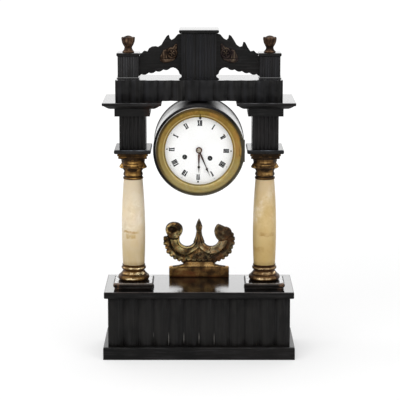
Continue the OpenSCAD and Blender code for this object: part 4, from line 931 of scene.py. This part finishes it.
def wobble(P, k, seed=0.0):
    """Irregular bumps about k radians per millimetre, between about -1 and 1."""
    H = np.zeros(P[0].shape)
    for i in range(7):
        a = 2.399 * i + seed * 1.7
        f = k * (0.7 + 0.11 * ((i * 5) % 7))
        H += np.sin(f * (P[0] * math.cos(a) + P[1] * math.sin(a)) + 1.9 * i + seed * 3.1)
    return H / 3.2


# scroll ornament
HORN, BOWL = (22.0, 63.0), (20.5, 66.0)
DISC, CURL_PIT, CURL_LOW, CLIMB = (-42.3, 80.2), (37.0, 73.7), (45.0, 75.0), (40.0, 70.4)
horn_poly = (arc(HORN, 36.4, -104, 8, 24) + [(46, 76), (41.5, 79.5), (33, 68)]
             + arc(BOWL, 13.4, -18, -168, 22) + [(6.3, 67.5), (5.4, 71), (4.7, 75.5), (-1, 76), (-1, 25.4)])
curl_poly = [(25.8, 79), (27.2, 84.5), (30.2, 89.6), (32.7, 90.9), (36, 89.8), (41, 87.6), (46.5, 84.8),
             (52, 81.3), (55, 74), (48, 64), (34, 61.5), (28.9, 67.5), (26.6, 73)]
ORNAMENT_AT = (0, 56.0, 113.6)  # middle of its foot
SCALLOPS = (((0, 32.5), 4.8), ((9.0, 31.2), 4.6), ((17.4, 32.4), 4.4))
FRINGE_START, FRINGE_STEP = 4.0, 12.4
lobes = []
for i in range(8):
    r, a = 35.2 + 0.5 * math.sin(2.7 * i), math.radians(FRINGE_START - FRINGE_STEP * i)
    lobes.append((HORN[0] + r * math.cos(a), HORN[1] + r * math.sin(a), 3.9 + 0.5 * math.sin(1.9 * i + 1)))
climbing = [(46.0, 81.8), (51.6, 78.0), (56.0, 72.6)]
spear_half = [(9.6, 60), (5.5, 71), (4.4, 79), (5.8, 86.5), (3.2, 94.5), (0, 101)]
spear_poly = spear_half + [(-x, z) for x, z in spear_half[-2::-1]]
foot_half = [(51, 0), (51, 16.4), (50, 17.6), (45, 18.0), (34, 19.6), (27, 22.0), (23.0, 26.6)]
foot_poly = foot_half + [(-x, z) for x, z in foot_half[::-1]]


def orn_sdf(P):
    A = (np.abs(P[0]), P[1])
    parts = [d_poly(A, horn_poly), d_poly(P, curl_poly), d_poly(P, spear_poly), d_poly(P, foot_poly),
             d_circle(P, DISC, 14.6 + 0.5 * np.sin(3.0 * angle(P, DISC))), d_circle(P, CURL_LOW, 11.0)]
    parts += [d_circle(A, (x, z), r) for x, z, r in lobes]
    parts += [d_circle(P, at, 3.4) for at in climbing]
    return np.minimum.reduce(parts)


def orn_front(P, inner):
    x, z = P
    A = (np.abs(x), z)
    right = x > 0
    rb, rh = d_circle(A, BOWL, 0), d_circle(A, HORN, 0)
    # leaf fringe: a hollow beside the band, lobes only towards the edge
    ph = (FRINGE_START - np.degrees(angle(A, HORN))) / FRINGE_STEP
    ph = ph - np.round(ph)
    H = 3.4 + 1.8 * step01(rh, 27.5, 31.5) + (1.7 * np.cos(np.pi * ph) ** 2 - 1.0) * step01(rh, 31.0, 36.5)
    H += 0.55 * wobble(P, 0.42, 1.0)
    # leaf between the bands, under the spear: ribs that fan out from its tip
    fan = np.degrees(np.arctan2(x, 60.0 - z))
    leaf = 4.9 + 0.2 * np.cos(np.radians(fan * 24)) + 0.5 * gauss(A[0], 2.4) + 0.45 * wobble(P, 0.6, 3.0)
    low_edge = np.interp(A[0], [0, 12.5, 19, 30], [25.2, 25.7, 28.4, 29.2])
    mid = step01(rb, low_edge - 1.4, low_edge + 1.0) * step01(23 - A[0], 0, 5)
    H = lerp(H, leaf, mid)
    scallop = np.minimum.reduce([d_circle(A, at, r) for at, r in SCALLOPS])
    H = np.where((z < 33) & (A[0] < 23) & (z > 24), H - 2.6 * step01(scallop, -0.4, 1.2), H)
    # round band of the bowl, with a bead at its upper edge and a groove below it
    on = (rb < low_edge + 0.8) & (z < 86)
    band = 4.2 + 4.6 * dome(rb - 20.4, 8.6)
    band = np.maximum(band, 6.4 + 2.0 * dome(rb - 14.8, 1.7))
    band -= np.where(right, 0.5, 1.4) * gauss(rb - 17.2, 0.8) + 2.4 * gauss(rb - low_edge, 1.1)
    band += 0.35 * wobble(P, 0.35, 5.0)
    H = np.where(on, np.maximum(band, 2.4), H)
    # ribs that run up into the spear
    flare = np.interp(z, [53.6, 58.2, 64, 70.8, 78.8], [15.5, 10.3, 7.6, 5.5, 4.5])
    u = np.clip(A[0] / flare, 0, 1)
    up = step01(z, 53, 62) * (A[0] < flare + 1)
    ribs = 5.0 + 2.7 * dome(u, 1.0) - 0.9 * gauss(u - 0.42, 0.13)
    H = lerp(H, ribs, up)
    # spear head with a ridge, and its collar
    head = step01(z, 78.5, 80.5)
    wide = np.interp(z, [80, 86.5, 94.5, 101], [4.5, 5.8, 3.2, 0.3])
    ridge = 4.4 + 2.8 * dome(A[0], wide) + 0.7 * np.clip(1 - A[0] / wide, 0, 1)
    H = np.where((A[0] < 7) & (z > 72), lerp(H, ridge, head), H)
    H = np.where((A[0] < 6) & (np.abs(z - 79.6) < 1.5), H + 0.5 * dome(z - 79.6, 1.5), H)
    # left scroll: an uneven rim round a hollow that lies above its middle
    re = d_circle(P, DISC, 0)
    hollow = np.hypot((x - DISC[0] + 3.0) / 9.4, (z - DISC[1] - 2.2) / 5.4)
    eye = 4.4 + 3.2 * dome(re - 8.5, 7.5) - 3.8 * step01(1.2 - hollow, 0, 0.8)
    eye += 0.5 * np.cos(4 * angle(P, DISC) + 0.6) * step01(re, 3, 8)
    H = np.where((re < 14.6) & ~right, eye + 0.5 * wobble(P, 0.7, 2.0), H)
    H = np.where(right, H, H - 2.4 * gauss(re - 15.0, 0.9))
    # right scroll: a lumpy curl with a small pit, and leaves that climb over it
    rc = d_circle(P, CURL_PIT, 0)
    inside = -d_poly(P, curl_poly)
    curl = 5.0 + 1.8 * dome(rc, 18.0) - 2.0 * gauss(rc, 1.6) + 1.0 * wobble(P, 0.6, 6.0)
    curl -= 1.8 * gauss(inside - 0.5, 0.9) * step01(70 - z, 0, 6)
    H = lerp(H, curl, step01(inside, 0, 1.2))
    turn = np.degrees(angle(P, CLIMB))
    climb = (right * step01(d_circle(P, CLIMB, 0), 10.4, 12.2) * step01(turn, -16, -4)
             * step01(76 - turn, 0, 8))
    leaves = 4.0 + 2.2 * np.abs(np.sin(np.pi * (turn / 27.5 + 0.245))) ** 0.7 + 0.5 * wobble(P, 0.6, 7.0)
    H = lerp(H, leaves, climb)
    # crack in the right half
    crack = np.abs(x - 18.6 - 0.5 * np.sin(z * 0.9)) + 8 * step01(np.abs(z - 43.5), 9.0, 9.6)
    H -= 2.4 * gauss(crack, 0.55) * right
    # foot
    foot = 8.0 - 2.8 * step01(z, 17.4, 24.5) - 0.5 * step01(3.0 - z, 0, 2) - 0.9 * step01(np.abs(x), 49.4, 51)
    foot += 0.12 * wobble(P, 0.5, 8.0) - 0.5 * gauss(z - 17.4, 0.8)
    H = lerp(H, foot, step01(27.4 - z, 0, 1.6)) + 0.1 * wobble(P, 1.9, 2.0)
    # rounded edge, tighter at the foot
    k = np.clip(inner / np.where(z < 18, 1.2, 2.6), 0, 1)
    low = np.where(z < 18, 6.6, 2.4)
    return np.clip(low + (H - low) * np.sqrt(k * (2 - k)), 1.0, 8.0)


def orn_back(P, inner):
    z = P[1]
    H = np.where(z < 26, 7.8 - 2.4 * step01(z, 17.6, 24.5), 5.2) + 0.12 * wobble(P, 0.5, 4.0)
    k = np.sqrt(np.clip(inner / 2.0, 0, 1))
    return 2.0 + (H - 2.0) * k


def orn_light_and_tone(P):
    """Painted highlights on bowl, rims, right arm, spear ridge and the slope of the foot; painted shade in
    the left disc's hollow, round its rim and along the foot's edges; darker on the right scroll and in the
    fringe.
    """
    x, z = P
    ax, dx, dz = np.abs(x), *DISC
    rb, re = d_circle((ax, z), BOWL, 0), d_circle(P, DISC, 0)
    t = 0.16 * gauss(rb - 21.5, 4.0) * (z < 80)
    t += 0.05 * gauss(z - 21.5, 3.2) * step01(30 - ax, 0, 14)
    t += 0.16 * spot(P, 6.0, 21.0, 160.0, 9.0)
    t -= 0.16 * gauss(z - 26.2, 1.6)
    t += 0.06 * gauss(x, 14.0) * step01(z, 30, 35) * step01(52 - z, 0, 6)
    t -= 0.26 * spot(P, dx - 4, dz + 3, 34.0, 34.0)
    t -= 0.2 * gauss(z - 17.2, 1.0) + 0.16 * step01(5 - z, 0, 5)
    t += 0.22 * spot(P, dx - 2, dz - 8.5, 50.0, 16.0)
    t -= 0.2 * spot(P, dx + 7, dz + 9, 36.0, 30.0)
    t -= 0.16 * step01(-x, 48, 54) * step01(z, 56, 62) * (z < 72)
    t -= 0.24 * gauss(re - 14.2, 1.3)
    t += 0.16 * spot(P, 24, 47, 70.0, 24.0)
    t += 0.14 * spot(P, 39, 69.5, 40.0, 14.0)
    t += 0.2 * gauss(z - 86, 4.5) * (ax < 7) - 0.4 * step01(z, 92, 95) * (ax < 7)
    t -= 0.22 * step01(x, 26, 40) * step01(z, 56, 70) + 0.1 * step01(x, 44, 52)
    t -= 0.26 * step01(z, 54, 66) * step01(12 - ax, 0, 4)
    t -= 0.05 * step01(x, 0, 12) * step01(z, 24, 30)
    return t + 0.13 * wobble(P, 0.3, 9.0)


relief("scroll_ornament", orn_sdf, orn_front, orn_back, (-60.5, 60.5, 0, 101), 0.75, ORNAMENT_AT,
       ORN_GILT, 0.42, orn_light_and_tone)


# capitals: a bell with two rows of leaves under a horned slab
TIP_Z = 20.2  # height at which the broad leaves reach out most


def capital(node, x, material, seed):
    th = around(192)
    z = np.concatenate([np.linspace(0, 5, 14), np.linspace(5.3, 17.6, 26), np.linspace(17.8, 24.6, 34),
                        np.linspace(25, 31, 12), np.linspace(31.5, 36, 10),
                        np.linspace(36.3, 45, 26)])[:, None]
    bell = np.interp(z, [0, 0.2, 1.0, 2.2, 3.4, 4.4, 4.9, 9, 14, 18, 22, 27, 31, 34, 36],
                     [14.6, 15.4, 16.4, 16.8, 16.4, 15.4, 14.5, 14.6, 14.9, 15.3, 16.0, 17.4, 18.2, 18.8,
                      19.6])
    R = np.repeat(bell, th.size, 1)
    # tone: painted highlights on leaf lips, stalks and lower leaves, painted shade under the leaves, above
    # the astragal and under the slab
    drop, tone = np.zeros(R.shape), np.zeros(R.shape)
    for k in range(8):  # broad leaves in front, behind and at the sides, narrow ones between
        main = k % 2 == 0
        dth = np.degrees((th - k * np.pi / 4 + np.pi) % (2 * np.pi) - np.pi)
        half, tip_z, reach, hang = (31.0, 20.6, 7.4, 0.0) if main else (20.0, 22.6, 3.6, 1.8)
        if k % 4 == 0:
            tip_z, reach = 25.4, 6.4
        across = dome(dth, half)
        notch = 1 - 0.05 * gauss(dth, 3.0) * main
        if main:
            over = np.clip(1 - (z - TIP_Z) / 7.6, 0, 1) ** 0.75
            tip = np.where(z > TIP_Z, over, dome(z - TIP_Z, 2.8)) * across
        else:
            tip = (step01(z, tip_z - 1.8, tip_z - 0.2) * np.clip((tip_z + 6.8 - z) / 6.8, 0, 1) ** 0.75
                   * across)
        R = np.maximum(R, bell + reach * tip * notch)
        drop = np.maximum(drop, hang * tip ** 2)
        blade = step01(z, 5.0, 7.0) * step01(tip_z - 1.0 - z, 0, 1.5) * across
        R = np.maximum(R, bell + 1.2 * blade)
        # painted highlight along each leaf's lip
        lip = (0.34 * gauss(z - tip_z + 0.4, 0.7) - 0.16 * gauss(z - tip_z - 1.6, 0.7)) * across ** 0.3
        lip += 0.2 * gauss(z - tip_z - 3.6, 1.4) * across
        tone += (1.0 if main else 0.45) * lip
        if main:
            hollow = np.clip(1.2 - (dth / 27.0) ** 2 - ((z - tip_z + 8.0) / 3.2) ** 2, 0, 1)
            R -= 1.3 * hollow
            # painted shadow in the hollow under the leaf
            tone -= 0.22 * np.clip(hollow * 2, 0, 1)
            stalk = dome(dth, 8.0) * step01(z, 26, 28) * step01(36.5 - z, 0, 2)
            R += 1.0 * stalk
            tone += 0.1 * stalk
        low = dome(dth, 17.0) * np.clip((12.2 - z) / 5.0, 0, 1) ** 0.6 * step01(z, 6.6, 7.6)
        R = np.maximum(R, bell + 1.9 * low)
        tone += 0.16 * low
    R += 0.7 * gauss(z - 29.6, 0.8) + 0.5 * gauss(z - 33.0, 0.7)
    # painted shade in the groove above the astragal and under the slab
    tone -= 0.2 * gauss(z - 4.9, 0.8) + 0.28 * gauss(z - 35.6, 1.6)
    # horned slab with hollow sides and drooping corners
    phi = (th + np.pi / 4) % (np.pi / 2) - np.pi / 4
    half, sag = 26.6, 5.2
    yc = (half ** 2 * 2 - (half - sag) ** 2) / (2 * sag)
    rc = yc - half + sag
    side = np.minimum(yc * np.cos(phi) - np.sqrt(np.maximum(rc ** 2 - (yc * np.sin(phi)) ** 2, 0)), 34.4)
    horn = step01(np.abs(phi), np.radians(26), np.radians(44))
    under = 38.0 - 2.2 * horn
    t = step01(z, under - 1.8, under + 1.0)
    slab_r = side * (0.94 + 0.06 * step01(z, 40.2, 41.2)) - 0.9 * gauss(z - 40.2, 0.55)
    R = lerp(R, slab_r, t) - 1.0 * step01(z, 44.2, 45.0)
    tone -= 0.12 * t
    P = (th * 16 + 0 * z, z + 0 * th)
    R += 0.14 * wobble(P, 0.9, seed)
    tone += 0.05 * wobble(P, 0.35, seed)
    turned_grid("carved_" + node, node, R, z - drop, (x, COLUMN_Y, CAPITAL_Z), material, 0.11, tone)


capital("capital_left", -COLUMN_X, CAP_L, 0.3)
capital("capital_right", COLUMN_X, CAP_R, 1.9)


# moulding under the cornice slabs: a lip at the edge, then a slope in to the impost block
CORNICE_SLAB, IMPOST_W, MOULDING_H = 3.4 * MM, 57.4 * MM, 8.0 * MM
# inset towards the impost and drop, as shares of ledge and height
MOULDING = [(0.02, 0.0), (0.02, 0.2), (0.14, 0.24), (0.3, 0.52), (0.46, 0.76), (0.6, 0.92), (0.75, 0.98),
            (1.03, 1.0)]


def cornice_moulding(side, material):
    low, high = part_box("cornice_" + side)
    inner_low, inner_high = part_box("pilaster_" + side)
    ledge = 0.5 * (IMPOST_W - (inner_high[0] - inner_low[0]))
    verts, faces = [], []
    for inset, drop in MOULDING:
        x0, y0 = (a + inset * (b - ledge - a) for a, b in zip(low[:2], inner_low[:2]))
        x1, y1 = (a + inset * (b + ledge - a) for a, b in zip(high[:2], inner_high[:2]))
        z = high[2] - CORNICE_SLAB + 0.3 * MM - drop * MOULDING_H
        verts += [(x0, y0, z), (x1, y0, z), (x1, y1, z), (x0, y1, z)]
    for k in range(0, len(verts) - 4, 4):
        faces += [(k + i, k + 4 + i, k + 4 + (i + 1) % 4, k + (i + 1) % 4) for i in range(4)]
    faces += [(0, 1, 2, 3), tuple(range(len(verts) - 1, len(verts) - 5, -1))]
    piece("cornice_moulding_" + side, verts, faces, material, "case", smooth=False)


cornice_moulding("left", CORNICE_L)
cornice_moulding("right", CORNICE_R)


# finials: tulip cups with six broad petals round a small dome
FINIAL_X, FINIAL_Y, FINIAL_Z = 116.1, 7.0, 500.9


def finial(side, x, material, seed):
    th = around(120)
    prof = [(9.4, 0), (9.8, 0.4), (9.7, 1.4), (8.3, 2.7), (7.0, 4.6), (6.25, 6.8), (6.2, 8.4), (6.9, 9.5),
            (8.0, 11.2), (9.2, 13.2), (10.3, 15.8), (11.0, 18.4), (11.4, 21.4), (11.55, 23.6), (11.2, 24.4),
            (10.2, 24.5), (9.0, 24.4), (7.6, 24.8), (6.2, 25.6), (4.2, 26.6), (2.0, 27.2), (0.4, 27.4)]
    t = np.linspace(0, len(prof) - 1, 64)[:, None]
    r, z = (np.interp(t, range(len(prof)), [p[i] for p in prof]) for i in (0, 1))
    petal = np.abs(np.cos(3 * th))
    cup = step01(z, 8.8, 13) * step01(t, 6.5, 9)
    rim = step01(t, 11.0, 13.0) * step01(17.5 - t, 0, 2.5)
    R = r - cup * 0.7 * (1 - petal) ** 2 * step01(17 - t, 0, 3)
    R -= 0.35 * cup * gauss(1 - petal, 0.03) * step01(16 - t, 0, 3)
    Z = z + rim * (0.3 * petal - 0.5 * (1 - petal))
    P = (th * 10 + 0 * z, z + 0 * th)
    tone = 0.12 * wobble(P, 0.5, seed) - 0.14 * gauss(z - 8.0, 2.0)
    R += 0.1 * wobble(P, 0.9, seed + 2)
    turned_grid("petalled_finial_" + side, "finial_" + side, R, np.minimum(Z, 27.8), (x, FINIAL_Y, FINIAL_Z),
                material, 0.7, tone)


finial("left", -FINIAL_X, COPPER_L, 0.0)
finial("right", FINIAL_X, COPPER_R, 1.0)

# gilt mounts of the wings: a rosette in a ring, an inner leaf and a tail of broad leaves
MOUNT_X, MOUNT_Y, MOUNT_Z = 44.8, 2.0, 499.8
ROSETTE = (-0.8, 0.2)
mount_poly = [(-9.4, -3), (-9.2, 6), (-9.4, 14.4), (-6.8, 15.8), (-3.6, 12.4), (0, 9.6), (5.4, 8.6),
              (9.6, 6.4), (13.4, 4.8), (15.8, 0), (19.0, -6.2), (19.4, -12.6), (14, -16.2), (6, -15.8),
              (-2, -12.4), (-7.4, -8.4)]
MOUNT_LEAVES = [((-4, -9.6), (6, -12.8), 2.6), ((6, -12.8), (18, -11.2), 3.0),
                ((12.2, 3.4), (13.2, -6.8), 2.6), ((9.6, 4.4), (8.8, -7.6), 1.7),
                ((17.0, -3.6), (17.4, -8.6), 1.6), ((-6.6, 7.6), (-7.6, 14.0), 2.2),
                ((-3.6, 9.2), (-6.4, 13.6), 1.6)]


def mount_sdf(P):
    return np.minimum(d_poly(P, mount_poly) - 0.2, d_circle(P, ROSETTE, 9.2))


def mount_front(P, inner):
    r = d_circle(P, ROSETTE, 0)
    petals = np.clip(0.35 + np.cos(5 * angle(P, ROSETTE) + 0.7), 0, 1)
    H = 0.7 + 2.0 * dome(r - 7.4, 1.9) + 1.9 * dome(r - 3.0, 2.6) * petals + 2.2 * dome(r, 1.7)
    for start, end, w in MOUNT_LEAVES:
        H = np.maximum(H, 0.7 + 2.1 * dome(d_line(P, start, end), w))
    H += 0.2 * wobble(P, 0.9)
    return np.minimum(0.5 + (H - 0.5) * np.sqrt(np.clip(inner / 0.9, 0, 1)), 3.7)


def mount_tone(P):
    return 0.16 * wobble(P, 0.35, 4.0)


def mount_back(P, inner):
    return np.zeros(P[0].shape)


for side, node, gilt in ((-1, "wing_mount_left", MOUNT_L), (1, "wing_mount_right", MOUNT_R)):
    relief(node, mount_sdf, mount_front, mount_back, (-10.4, 20.0, -16.8, 16.4), 0.42,
           (side * MOUNT_X, MOUNT_Y, MOUNT_Z), gilt, 0.6, mount_tone, flip=side)


# floor, light, camera
bpy.ops.mesh.primitive_plane_add(size=24, location=(0, 0, 0))
floor = bpy.context.object
floor.name = "floor"
floor.data.materials.append(bpy.data.materials.new("floor"))
t = Tree(floor.data.materials[0], clear=True)
ray = t.new("LightPath").outputs
reach = t.new("VectorMath", {0: t.obj()}, operation="LENGTH").outputs["Value"]
glow = t.new("Emission", {"Color": (1, 1, 1), "Strength": t.span(reach, 0.5, 3.6, 0.43, 0.88)})
pale = t.new("BsdfDiffuse", {"Color": (0.5, 0.5, 0.5)})
white = t.new("AddShader", {0: pale.outputs[0], 1: glow.outputs[0]})
room = t.new("BsdfDiffuse", {"Color": (0.8, 0.8, 0.8)})
seen = t.math("MAXIMUM", ray["Is Camera Ray"], ray["Is Glossy Ray"])
both = t.new("MixShader", {0: seen, 1: room.outputs[0], 2: white.outputs[0]})
t.new("OutputMaterial", {0: both.outputs[0]})

# the world is white to the camera, dim as light, and a bright panel on dim walls to glossy rays
bpy.context.scene.world = bpy.data.worlds.new("studio")
t = Tree(bpy.context.scene.world, clear=True)
ray = t.new("LightPath").outputs
to = t.new("TexCoord").outputs["Generated"]
front = t.span(t.part(to, "Y"), -0.55, 0.25, 0.1, 1.0, "LINEAR")
panel = t.mul(t.span(t.part(to, "Z"), 0.13, 0.19, 1.0, 2.0), t.span(t.part(to, "Z"), 0.3, 0.45, 1.0, 0.5),
              front)
glossy = t.math("MAXIMUM", ray["Is Glossy Ray"], ray["Is Transmission Ray"])
dim = t.new("Mix", {0: glossy, 2: 0.35, 3: panel}, data_type="FLOAT").outputs[0]
strength = t.new("Mix", {0: ray["Is Camera Ray"], 2: dim, 3: 1.0}, data_type="FLOAT").outputs[0]
background = t.new("Background", {"Color": (1, 1, 1), "Strength": strength})
t.new("OutputWorld", {0: background.outputs[0]})


def lamp(name, at, target, size, watts):
    d = bpy.data.lights.new(name, "AREA")
    d.shape = "RECTANGLE"
    d.size, d.size_y = size
    d.energy = watts
    o = bpy.data.objects.new(name, d)
    o.location = at
    o.rotation_mode = "QUATERNION"
    o.rotation_quaternion = (Vector(target) - Vector(at)).to_track_quat("-Z", "Y")
    o.visible_camera = False
    bpy.context.scene.collection.objects.link(o)
    return o


lamp("key", (-1.25, -2.1, 1.9), (0, 0, 0.28), (2.0, 2.0), 28.5)
lamp("front", (0, -2.9, 0.8), (0, 0, 0.35), (0.9, 0.9), 10).visible_glossy = False
lamp("window", (-2.0, 0.25, 1.15), (0, 0, 0.2), (0.8, 0.8), 8)
lamp("fill", (1.35, -2.0, 1.5), (0, 0, 0.25), (2.0, 2.0), 21.5)
lamp("overhead", (0, 0.2, 2.4), (0, 0, 0.2), (2.2, 2.2), 30)
lamp("rear", (0, 2.1, 1.35), (0, 0, 0.5), (3.2, 1.7), 16).visible_glossy = False

cam = bpy.data.cameras.new("camera")
cam.sensor_width = 36
cam.lens = 153
cam.clip_end = 60
eye = bpy.data.objects.new("camera", cam)
eye.location = (0.00164, -2.78358, 0.74684)
eye.rotation_euler = (math.radians(79.992), 0, 0)
bpy.context.scene.collection.objects.link(eye)
bpy.context.scene.camera = eye
bpy.context.scene.view_settings.view_transform = "Standard"
